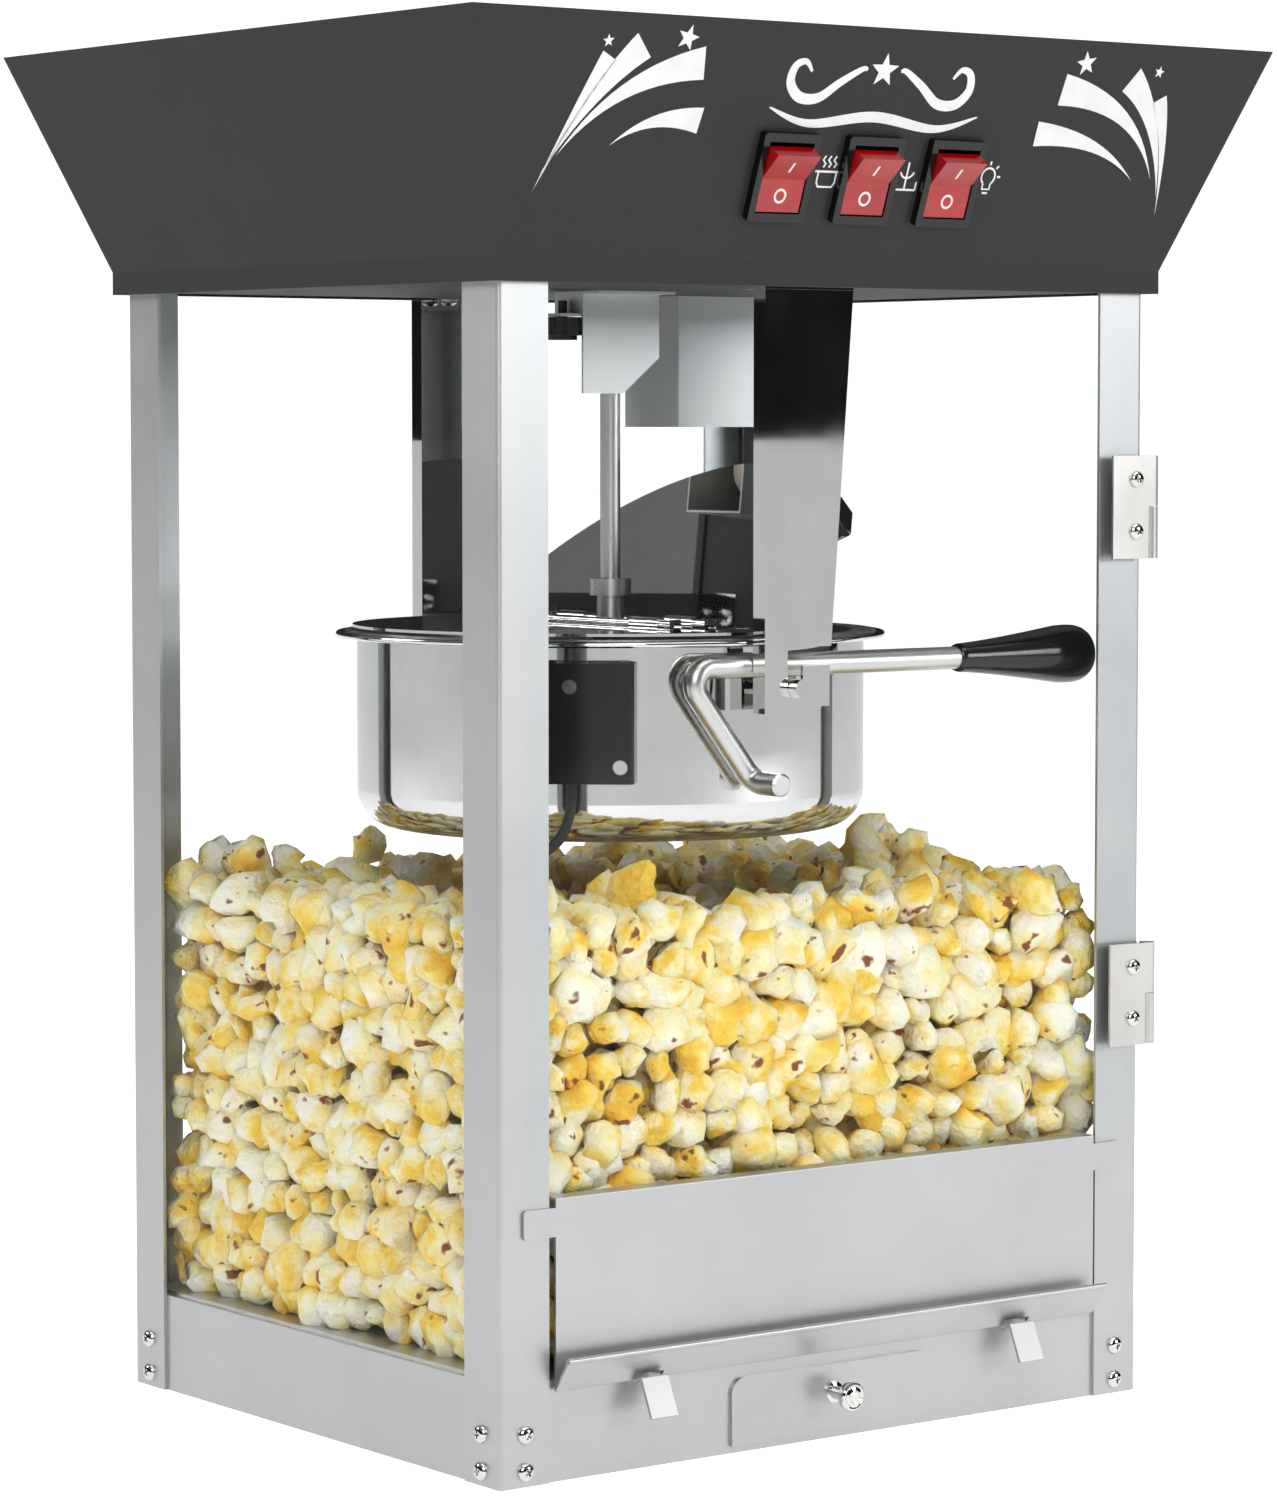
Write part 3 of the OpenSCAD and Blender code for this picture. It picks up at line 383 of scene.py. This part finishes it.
railHead = screwHead(*screwLook["railHead"])
leafHead = screwHead(*screwLook["leafHead"])
halfX, halfY = screwLook["cabinetHalf"]
insetX, insetY = halfX - screwLook["inset"], halfY - screwLook["inset"]
doorX, doorY = screwLook["doorLeaf"]
postX, postY = screwLook["postLeaf"]
railPlaces = []
for sideX in (-1, 1):
    for sideY in (-1, 1):
        for z in screwLook["railHeights"]:
            railPlaces.append(shift(sideX * insetX, sideY * halfY, z) @ turn(90 if sideY < 0 else -90, "X"))
            railPlaces.append(shift(sideX * halfX, sideY * insetY, z) @ turn(sideX * 90, "Y"))
placeScrews("railScrews", "cabinet", "post_screws", railHead, railPlaces)
placeScrews("doorScrews", "door", "door_leaf_screws", leafHead,
            [shift(doorX, doorY, z) @ turn(90, "X") for z in screwLook["leafHeights"]])
placeScrews("hingeScrews", "cabinet", "post_leaf_screws", leafHead,
            [shift(postX, postY, z) @ turn(90, "Y") for z in screwLook["leafHeights"]])
print("screws placed")


# Drawer knob: turned steel with two rings on its face
knobLook = {"height": 22, "smoothAngle": 30,
            "profile": [(0, -0.6), (4.5, -0.6), (4.5, 0), (4.5, 1.2), (3.0, 1.8), (2.7, 3), (2.7, 8.2),
                        (3.4, 9.2), (5.4, 10), (6.2, 10.8), (6.3, 12.4), (6.0, 13.6), (5.2, 14.2),
                        (4.6, 14.1), (4.4, 13.9), (4.2, 14.2), (2.8, 14.7), (2.5, 14.4), (2.2, 14.7),
                        (0, 15)]}
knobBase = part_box("drawer_front")[0].y / mm
finishPiece(spinProfile(knobLook["profile"], shift(0, knobBase, knobLook["height"]) @ turn(90, "X")),
            "drawerKnob", "polished_steel", "drawer", ("drawer_knob",), knobLook["smoothAngle"])

# Tilt handle: one bent bar with a chamfered foot, and a turned grip
handleLook = {"y": -115.8, "z": 333, "elbow": (-62.3, 333), "crankEnd": (-23, 283), "radius": 5,
              "elbowRadius": 7.5, "footRadius": 7.5, "footLength": 13, "chamfer": 1, "tipShare": 0.8,
              "gripStart": 90, "insideGrip": 20, "bendSteps": 16, "sides": 32, "smoothAngle": 40}
barY, barZ = handleLook["y"], handleLook["z"]
crank = (Vector(handleLook["crankEnd"]) - Vector(handleLook["elbow"])).normalized()
elbowTurn = 180 - math.degrees(math.atan2(-crank.y, crank.x))
elbowRun = handleLook["elbowRadius"] * math.tan(math.radians(elbowTurn / 2))
bar = [(handleLook["gripStart"] + handleLook["insideGrip"], barY, barZ)]
for step in range(handleLook["bendSteps"] + 1):
    a = math.radians(elbowTurn * step / handleLook["bendSteps"])
    bar.append((handleLook["elbow"][0] + elbowRun - handleLook["elbowRadius"] * math.sin(a), barY,
                barZ - handleLook["elbowRadius"] * (1 - math.cos(a))))
for step in range(handleLook["bendSteps"] + 1):
    a = math.radians(90 * step / handleLook["bendSteps"])
    centre = Vector(handleLook["crankEnd"]) - crank * handleLook["footRadius"] * (1 - math.sin(a))
    bar.append((centre.x, barY - handleLook["footRadius"] * (1 - math.cos(a)), centre.y))
footX, footZ = handleLook["crankEnd"]
footTip = barY - handleLook["footRadius"] - handleLook["footLength"]
bar += [(footX, footTip + handleLook["chamfer"], footZ), (footX, footTip, footZ)]
barTips = [1.0] * (len(bar) - 1) + [handleLook["tipShare"]]
finishPiece(tubeMesh(bar, handleLook["radius"], handleLook["sides"], barTips),
            "tiltBar", "stainless", "kettle", ("tilt_handle",), handleLook["smoothAngle"])

gripLook = {"neck": [(0, 0), (5.4, 0), (5.9, 0.5), (6.3, 1.6), (6.4, 2.6)],
            "swell": 6.4, "swellPower": 1.25, "swellRun": 56, "swellSteps": 20,
            "end": [(12.98, 62), (13, 65.5), (12.8, 68.5), (12.2, 71), (11.2, 72.9), (9.6, 74.2),
                    (7, 74.85), (0, 75)],
            "steps": 72, "smoothAngle": 40}
neckRadius, neckEnd = gripLook["neck"][-1]
gripProfile = list(gripLook["neck"])
for step in range(1, gripLook["swellSteps"] + 1):  # slow swell from neck to belly
    t = step / gripLook["swellSteps"]
    gripProfile.append((neckRadius + gripLook["swell"] * (t ** gripLook["swellPower"]),
                        neckEnd + gripLook["swellRun"] * t))
gripProfile += gripLook["end"]
gripPlace = shift(handleLook["gripStart"], barY, barZ) @ turn(90, "Y")
finishPiece(spinProfile(gripProfile, gripPlace, gripLook["steps"]),
            "turnedGrip", "black_phenolic", "kettle", ("handle_grip",), gripLook["smoothAngle"])

# Kettle lead: from the terminal box, hanging in a loop and up the corner to the ceiling
leadLook = {"radius": 2.3, "perSpan": 12, "sides": 16, "smoothAngle": 40,
            "route": [(-94.5, -82.8, 290.6), (-94.5, -82.8, 284), (-96, -84, 273), (-104, -88, 262),
                      (-118, -94, 257), (-132, -101, 264), (-141, -107, 284), (-145, -111, 325),
                      (-146, -112, 400), (-146, -112, 493.9)]}
leadPath = smoothPath(leadLook["route"], leadLook["perSpan"])
lead = finishPiece(tubeMesh(leadPath, leadLook["radius"], leadLook["sides"]),
                   "kettleLead", "cable_sheath", None, ("kettle_cable",), leadLook["smoothAngle"])
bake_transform(lead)
print("knob, handle and lead made")


# Printing on the sloping front of the roof
roofLook = {"rimY": -148, "rimZ": 503, "run": 35, "rise": 96, "inkHeight": 0.06}
slope = math.degrees(math.atan2(roofLook["run"], roofLook["rise"]))


def onFlare(x, v, out=0.0):
    # Local +Z points out of the front slope and +Y up it
    y = roofLook["rimY"] - v * math.sin(math.radians(slope))
    z = roofLook["rimZ"] + v * math.cos(math.radians(slope))
    return shift(x, y, z) @ turn(90 + slope, "X") @ shift(0, 0, out)


def inkShape(bm, outline):
    # A flat printed patch from its outline in mm
    patch = bmesh.new()
    face = patch.faces.new([patch.verts.new((x * mm, y * mm, 0)) for x, y in outline])
    raised = bmesh.ops.extrude_face_region(patch, geom=[face])["geom"]
    bmesh.ops.translate(patch, vec=(0, 0, roofLook["inkHeight"] * mm),
                        verts=[g for g in raised if isinstance(g, bmesh.types.BMVert)])
    bmesh.ops.triangulate(patch, faces=patch.faces)
    joinInto(bm, patch)


def inkLine(bm, points, width, swell=None):
    # A printed line: a round tube pressed flat
    line = tubeMesh([(x, y, 0) for x, y in points], width / 2, 8, swell)
    bmesh.ops.scale(line, verts=line.verts, vec=(1, 1, 2 * roofLook["inkHeight"] / width))
    joinInto(bm, line)


def rayOutline(tip, bend, end, width, steps=14, growth=1.2):
    # A curved ray that grows from a point to its full width
    left, right = [], []
    tip, bend, end = Vector(tip), Vector(bend), Vector(end)
    for step in range(1, steps + 1):
        t = step / steps
        point = tip * (1 - t) ** 2 + bend * 2 * t * (1 - t) + end * t * t
        along = ((bend - tip) * (1 - t) + (end - bend) * t).normalized()
        side = Vector((-along.y, along.x)) * width * t ** growth / 2
        left.append(tuple(point + side))
        right.append(tuple(point - side))
    return [tuple(tip)] + right + left[::-1]


def starOutline(centre, radius, lean, arms=5, notch=0.42):
    points = []
    for k in range(2 * arms):
        reach = radius if k % 2 == 0 else radius * notch
        a = math.radians(lean + 180 / arms * k)
        points.append((centre[0] + reach * math.sin(a), centre[1] + reach * math.cos(a)))
    return points


burstLook = {
    "leftBurst": {"rays": [((-168, 27), (-155, 62), (-144, 84), 8),
                           ((-166, 34), (-149, 70), (-128, 89), 13),
                           ((-160, 42), (-139, 76), (-96, 83), 14),
                           ((-135, 47), (-118, 62), (-92, 59), 11)],
                  "stars": [((-107, 93), 5.6, 12), ((-146, 90), 2.8, -8)]},
    "rightBurst": {"rays": [((169, 26), (165, 60), (155, 78), 8),
                            ((167, 34), (158, 70), (136, 86), 13),
                            ((161, 42), (144, 76), (98, 80), 14),
                            ((150, 41), (128, 60), (89, 60), 11)],
                   "stars": [((108, 92), 5.6, -12), ((151, 90), 2.8, 8)]},
}
for name, look in burstLook.items():
    bm = bmesh.new()
    for ray in look["rays"]:
        inkShape(bm, rayOutline(*ray))
    for star in look["stars"]:
        inkShape(bm, starOutline(*star))
    bmesh.ops.transform(bm, matrix=onFlare(0, 0), verts=bm.verts)
    finishPiece(bm, name, "ink", "cabinet")

# Scrolled ornament between the bursts: a curl each side of a small star, over one long swash
ornamentLook = {"centre": -2, "width": 4.6, "star": (-2, 84, 7.5),
                "curl": [(38, 82), (42, 86), (47, 84), (48, 77), (42, 71), (32, 71), (22, 78), (12, 84),
                         (9, 84)],
                "curlSpan": 8, "curlTip": 0.25,
                "swash": [(-56, 66), (-34, 60), (0, 64), (34, 60), (56, 66)],
                "swashSpan": 10, "swashTip": 0.12}


def ornamentLine(bm, shape, side):
    # One line of the ornament, thin at both ends and full in the middle
    points = [(ornamentLook["centre"] + side * x, v, 0) for x, v in ornamentLook[shape]]
    path = smoothPath(points, ornamentLook[shape + "Span"])
    tip = ornamentLook[shape + "Tip"]
    swell = [tip + (1 - tip) * math.sin(math.pi * i / (len(path) - 1)) for i in range(len(path))]
    inkLine(bm, [(p.x, p.y) for p in path], ornamentLook["width"], swell)


bm = bmesh.new()
for shape, side in (("curl", -1), ("curl", 1), ("swash", 1)):
    ornamentLine(bm, shape, side)
inkShape(bm, starOutline(ornamentLook["star"][:2], ornamentLook["star"][2], 0))
bmesh.ops.transform(bm, matrix=onFlare(0, 0), verts=bm.verts)
finishPiece(bm, "ornament", "ink", "cabinet")

# Small signs beside the switches: a steaming pot, a stirring blade and a lamp
signLook = {"v": 38.5, "line": 0.9, "scale": 1.2, "potX": -20, "stirrerX": 23, "lampX": 68}


def arc(cx, cy, r, start, stop, steps=18):
    return [(cx + r * math.cos(math.radians(start + (stop - start) * k / steps)),
             cy + r * math.sin(math.radians(start + (stop - start) * k / steps))) for k in range(steps + 1)]


signs = {
    "potX": [[(-4, 1), (-4, -3), (-3, -4.5), (3, -4.5), (4, -3), (4, 1)], [(-5.6, 1), (5.6, 1)]]
            + [[(x, 2.5), (x + 0.8, 3.8), (x - 0.6, 5.2), (x + 0.3, 6.6)] for x in (-2.4, 0, 2.4)],
    "stirrerX": [[(0, 5.5), (0, -4.5)], [(-5, -4.5), (5, -4.5)], [(-5, -4.5), (-5, -1.5)],
                 [(5, -4.5), (5, -1.5)], arc(0, 3, 3.2, 200, 340)],
    "lampX": [arc(0, 1.5, 3.1, -55, 235), [(-1.7, -1.2), (-1.7, -3.2), (1.7, -3.2), (1.7, -1.2)],
              [(-1.2, -4.6), (1.2, -4.6)]]
             + [[(4.2 * math.cos(a), 1.5 + 4.2 * math.sin(a)), (5.6 * math.cos(a), 1.5 + 5.6 * math.sin(a))]
                for a in (0, math.pi / 4, math.pi / 2, 3 * math.pi / 4, math.pi)],
}
bm = bmesh.new()
for key, lines in signs.items():
    for line in lines:
        size = signLook["scale"]
        points = [(signLook[key] + x * size, signLook["v"] + y * size) for x, y in line]
        inkLine(bm, points, signLook["line"])
bmesh.ops.transform(bm, matrix=onFlare(0, 0), verts=bm.verts)
finishPiece(bm, "switchSigns", "ink", "cabinet")

# On and off marks printed on the rockers
rockerLook = {"x": {"kettle_rocker": -44.7, "stirrer_rocker": 0.5, "lamp_rocker": 45.7}, "v": 37.2,
              "tilt": 15, "pivot": 0.5, "mid": 2.6, "markY": 6.9, "barLength": 5.6, "barWidth": 1.1,
              "ringRadius": 2.7, "ringWidth": 1.0, "ringSteps": 40}
for body, x in rockerLook["x"].items():
    tilt, markY, barHalf = rockerLook["tilt"], rockerLook["markY"], rockerLook["barLength"] / 2
    rise = rockerLook["mid"] + markY * math.tan(math.radians(tilt))
    base = onFlare(x, rockerLook["v"], rockerLook["pivot"]) @ turn(tilt, "X")
    bm = bmesh.new()
    onMark = bmesh.new()
    inkLine(onMark, [(0, -barHalf), (0, barHalf)], rockerLook["barWidth"])
    joinInto(bm, onMark, base @ shift(0, markY, rise) @ turn(tilt, "X"))
    offMark = bmesh.new()
    ring = arc(0, 0, rockerLook["ringRadius"], 0, 360, rockerLook["ringSteps"])
    inkLine(offMark, ring, rockerLook["ringWidth"])
    joinInto(bm, offMark, base @ shift(0, -markY, rise) @ turn(-tilt, "X"))
    finishPiece(bm, body + "Marks", "ink", body)
print("printing done")


# Popcorn in the bin, shown only as what the machine is used for
popcornLook = {"pitch": 15.5, "layerShare": 0.92, "shapes": 12, "seed": 21, "level": 243, "floor": 54,
               "layers": 2, "x": (-160, 160), "y": (-127, 128), "margin": 4, "sink": 8,
               "kettleCentre": (-10.5, 3), "axisHeight": 323.5, "rimReach": 125.7, "kettleDrop": 66.5,
               "gap": 14, "wave": 12, "waveScale": 0.025, "sizes": (0.8, 1.3), "stretch": (0.72, 1.1),
               "jitter": 3, "wallShare": 0.85, "deckShare": 0.6,
               "coreSize": (0.26, 0.2, 0.09), "coreHeight": 0.105}
kernelLook = {"size": 26, "lobes": (7, 15), "lobeSize": (0.22, 0.56), "lobeReach": (0.42, 0.62),
              "flatten": 0.8, "core": 0.34, "creases": 0.22, "creaseScale": 3.1, "pits": 0.14,
              "pitScale": 7.3, "apart": 9}


def makePopcornFinish():
    # Popped corn: chalky cream with butter in the hollows and a few toasted hulls
    material, tree, shader = newMaterial("popcorn")
    coords = addNode(tree, "ShaderNodeTexCoord")
    each = addNode(tree, "ShaderNodeObjectInfo")
    apart = addNode(tree, "ShaderNodeMath", {"operation": "MULTIPLY", 1: 40.0}, {0: (each, "Random")})
    butter = addNode(tree, "ShaderNodeTexNoise", {"noise_dimensions": "4D", "Scale": 55.0, "Detail": 4.0},
                     {"Vector": (coords, "Object"), "W": (apart, "Value")})
    tint = addNode(tree, "ShaderNodeValToRGB",
                   {"stops": [(0.4, "#fff7e6"), (0.5, "#ffedb2"), (0.6, "#fdd34c"), (0.74, "#eaa624")]},
                   {"Fac": (butter, "Fac")})
    hull = addNode(tree, "ShaderNodeTexNoise", {"noise_dimensions": "4D", "Scale": 120.0, "Detail": 2.0},
                   {"Vector": (coords, "Object"), "W": (apart, "Value")})
    spots = addNode(tree, "ShaderNodeMapRange", {"From Min": 0.64, "From Max": 0.69},
                    {"Value": (hull, "Fac")})
    mixed = addNode(tree, "ShaderNodeMix", {"data_type": "RGBA", 7: linearColour("#8a4a17")},
                    {0: (spots, "Result"), 6: (tint, "Color")})
    crumb = addNode(tree, "ShaderNodeTexNoise", {"Scale": 260.0, "Detail": 5.0},
                    {"Vector": (coords, "Object")})
    bump = addNode(tree, "ShaderNodeBump", {"Strength": 1.0, "Distance": 0.003},
                   {"Height": (crumb, "Fac")})
    shader.inputs["Roughness"].default_value = 0.55
    shader.inputs["Subsurface Weight"].default_value = 0.5
    shader.inputs["Subsurface Radius"].default_value = (0.006, 0.005, 0.003)
    tree.links.new(mixed.outputs[2], shader.inputs["Base Color"])
    tree.links.new(bump.outputs["Normal"], shader.inputs["Normal"])
    return material


def kernelMesh(index, finish):
    # A popped kernel: a ball whose surface is the outside of several overlapping lobes
    bm = bmesh.new()
    bmesh.ops.create_icosphere(bm, subdivisions=2, radius=1)
    lobes = []
    for _ in range(random.randint(*kernelLook["lobes"])):
        away = Vector((random.gauss(0, 1), random.gauss(0, 1), random.gauss(0, 1))).normalized()
        size = random.uniform(*kernelLook["lobeSize"])
        away.z *= kernelLook["flatten"]
        lobes.append((away * random.uniform(*kernelLook["lobeReach"]), size))
    own = Vector((index * kernelLook["apart"], 0, 0))
    for v in bm.verts:
        d = v.co.normalized()
        reach = [kernelLook["core"]]
        for centre, size in lobes:
            inside = size * size - centre.length_squared + centre.dot(d) ** 2
            if inside > 0:
                reach.append(centre.dot(d) + math.sqrt(inside))
        crease = (1 + kernelLook["creases"] * noise.noise(d * kernelLook["creaseScale"] + own)
                  + kernelLook["pits"] * noise.noise(d * kernelLook["pitScale"]))
        v.co = d * max(reach) * crease * kernelLook["size"] / 2 * mm
    mesh = bpy.data.meshes.new(f"kernel{index}")
    mesh["reach"] = max(v.co.length for v in bm.verts)
    bm.to_mesh(mesh)
    bm.free()
    for face in mesh.polygons:
        face.use_smooth = True
    mesh.materials.append(finish)
    return mesh


def heapTop(x, y):
    # The heap's height, kept under the sweep of the tipping kettle
    dx = x - popcornLook["kettleCentre"][0]
    dy = y - popcornLook["kettleCentre"][1]
    sweep = math.sqrt(max(popcornLook["rimReach"] ** 2 - dy * dy, popcornLook["kettleDrop"] ** 2))
    clear = popcornLook["axisHeight"] - math.sqrt(max(sweep ** 2 - dx * dx, 0)) - popcornLook["gap"]
    wave = popcornLook["wave"] * noise.noise(Vector((x, y, 0)) * popcornLook["waveScale"])
    return min(popcornLook["level"] + wave, clear)


binLow = Vector((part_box("left_glass")[1].x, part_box("door_glass")[1].y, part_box("popcorn_deck")[1].z))
binHigh = Vector((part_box("right_glass")[0].x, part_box("rear_glass")[0].y))
random.seed(popcornLook["seed"])
popcornFinish = makePopcornFinish()
kernels = [kernelMesh(k, popcornFinish) for k in range(popcornLook["shapes"])]
heap = bpy.data.collections.new("popcorn")
scene.collection.children.link(heap)
pitch = popcornLook["pitch"]
reach = popcornLook["layers"] * pitch
jitter = popcornLook["jitter"]
(leftX, rightX), (frontY, backY) = popcornLook["x"], popcornLook["y"]
columns = int((rightX - leftX) / pitch)
rows = int((backY - frontY) / pitch)
count = 0
for i in range(columns + 1):
    for j in range(rows + 1):
        x = leftX + popcornLook["margin"] + i * pitch
        y = frontY + popcornLook["margin"] + j * pitch
        wall = min(x - leftX, rightX - x, y - frontY, backY - y)
        top = heapTop(x, y) - popcornLook["sink"]
        z = popcornLook["floor"]
        while z < top:
            if wall < reach or z > top - reach:
                shape = random.choice(kernels)
                size = random.uniform(*popcornLook["sizes"])
                room = shape["reach"] * size * popcornLook["wallShare"]  # keeps the kernel off the glass
                spot = [place * mm + random.uniform(-jitter, jitter) * mm for place in (x, y, z)]
                kernel = bpy.data.objects.new("kernel", shape)
                kernel.location = (min(max(spot[0], binLow.x + room), binHigh.x - room),
                                   min(max(spot[1], binLow.y + room), binHigh.y - room),
                                   max(spot[2], binLow.z + room * popcornLook["deckShare"]))
                kernel.rotation_euler = [random.uniform(0, math.tau) for _ in range(3)]
                kernel.scale = [size * random.uniform(*popcornLook["stretch"]) for _ in range(3)]
                heap.objects.link(kernel)
                count += 1
            z += pitch * popcornLook["layerShare"]
bm = bmesh.new()  # a plain core keeps light from passing through the heap
bmesh.ops.create_cube(bm, size=1)
bmesh.ops.scale(bm, verts=bm.verts, vec=popcornLook["coreSize"])
bmesh.ops.translate(bm, verts=bm.verts, vec=(0, 0, popcornLook["coreHeight"]))
core = objectFrom(bm, "heapCore")
core.data.materials.append(popcornFinish)
print("popcorn placed:", count, "kernels")


# Floor, light and camera
studioLook = {"floorSize": 160, "floorGlow": 0.56, "floorShown": 0.93, "floorRoughness": 0.9,
              "skyShown": 1.15, "horizonGlow": 0.01, "zenithGlow": 0.35, "glowFrom": 0.25,
              "aim": (0, 0, 0.3)}
bm = bmesh.new()
bmesh.ops.create_grid(bm, x_segments=1, y_segments=1, size=studioLook["floorSize"] / 2)
studioFloor = objectFrom(bm, "floor")
floorFinish, tree, shader = newMaterial("floor")
coords = addNode(tree, "ShaderNodeTexCoord")
dust = addNode(tree, "ShaderNodeTexNoise", {"Scale": 4.0, "Detail": 3.0}, {"Vector": (coords, "Object")})
pale = addNode(tree, "ShaderNodeValToRGB", {"stops": [(0.3, "#e3e3e3"), (0.7, "#e9e9e9")]},
               {"Fac": (dust, "Fac")})
tree.links.new(pale.outputs["Color"], shader.inputs["Base Color"])
shader.inputs["Roughness"].default_value = studioLook["floorRoughness"]
shader.inputs["Emission Color"].default_value = (1, 1, 1, 1)
rays = addNode(tree, "ShaderNodeLightPath")
shown = addNode(tree, "ShaderNodeMapRange",
                {"To Min": studioLook["floorGlow"], "To Max": studioLook["floorShown"]},
                {"Value": (rays, "Is Camera Ray")})
tree.links.new(shown.outputs["Result"], shader.inputs["Emission Strength"])
studioFloor.data.materials.append(floorFinish)

world = bpy.data.worlds.new("studio")
scene.world = world
world.use_nodes = True
tree = world.node_tree
sky = tree.nodes["Background"]
coords = addNode(tree, "ShaderNodeTexCoord")
height = addNode(tree, "ShaderNodeSeparateXYZ", {}, {0: (coords, "Generated")})
glow = addNode(tree, "ShaderNodeMapRange",
               {"From Min": studioLook["glowFrom"], "From Max": 1.0,
                "To Min": studioLook["horizonGlow"], "To Max": studioLook["zenithGlow"]},
               {"Value": (height, "Z")})
rays = addNode(tree, "ShaderNodeLightPath")
strength = addNode(tree, "ShaderNodeMix", {"data_type": "FLOAT", 3: studioLook["skyShown"]},
                   {0: (rays, "Is Camera Ray"), 2: (glow, "Result")})
sky.inputs["Color"].default_value = (1, 1, 1, 1)
tree.links.new(strength.outputs[0], sky.inputs["Strength"])

lampLook = {
    "keyLight": {"place": (-1.5, -1.9, 1.5), "size": 1.4, "power": 26},
    "overheadLight": {"place": (0.1, -0.3, 2.1), "size": 1.8, "power": 26},
    "frontLight": {"place": (2.4, -3.3, 1.3), "size": 1.2, "power": 44},
    "backLight": {"place": (-2.4, 2.8, 1.9), "size": 1.4, "power": 38},
}
aim = Vector(studioLook["aim"])
for name, look in lampLook.items():
    lamp = bpy.data.lights.new(name, "AREA")
    lamp.size = look["size"]
    lamp.energy = look["power"]
    lampObject = bpy.data.objects.new(name, lamp)
    lampObject.location = look["place"]
    lampObject.rotation_euler = (aim - Vector(look["place"])).to_track_quat("-Z", "Y").to_euler()
    lampObject.visible_camera = False
    scene.collection.objects.link(lampObject)

cameraLook = {"place": (-1.3076, -1.7458, 0.4378), "yaw": 36.896, "pitch": 3.883, "lens": 117.1,
              "sensor": 36}
yaw, pitchDown = math.radians(cameraLook["yaw"]), math.radians(cameraLook["pitch"])
camera = bpy.data.cameras.new("camera")
camera.lens = cameraLook["lens"]
camera.sensor_width = cameraLook["sensor"]
cameraObject = bpy.data.objects.new("camera", camera)
cameraObject.location = cameraLook["place"]
forward = Vector((math.sin(yaw) * math.cos(pitchDown), math.cos(yaw) * math.cos(pitchDown),
                  -math.sin(pitchDown)))
cameraObject.rotation_euler = forward.to_track_quat("-Z", "Y").to_euler()
scene.collection.objects.link(cameraObject)
scene.camera = cameraObject
scene.view_settings.view_transform = "Standard"
print("studio set")
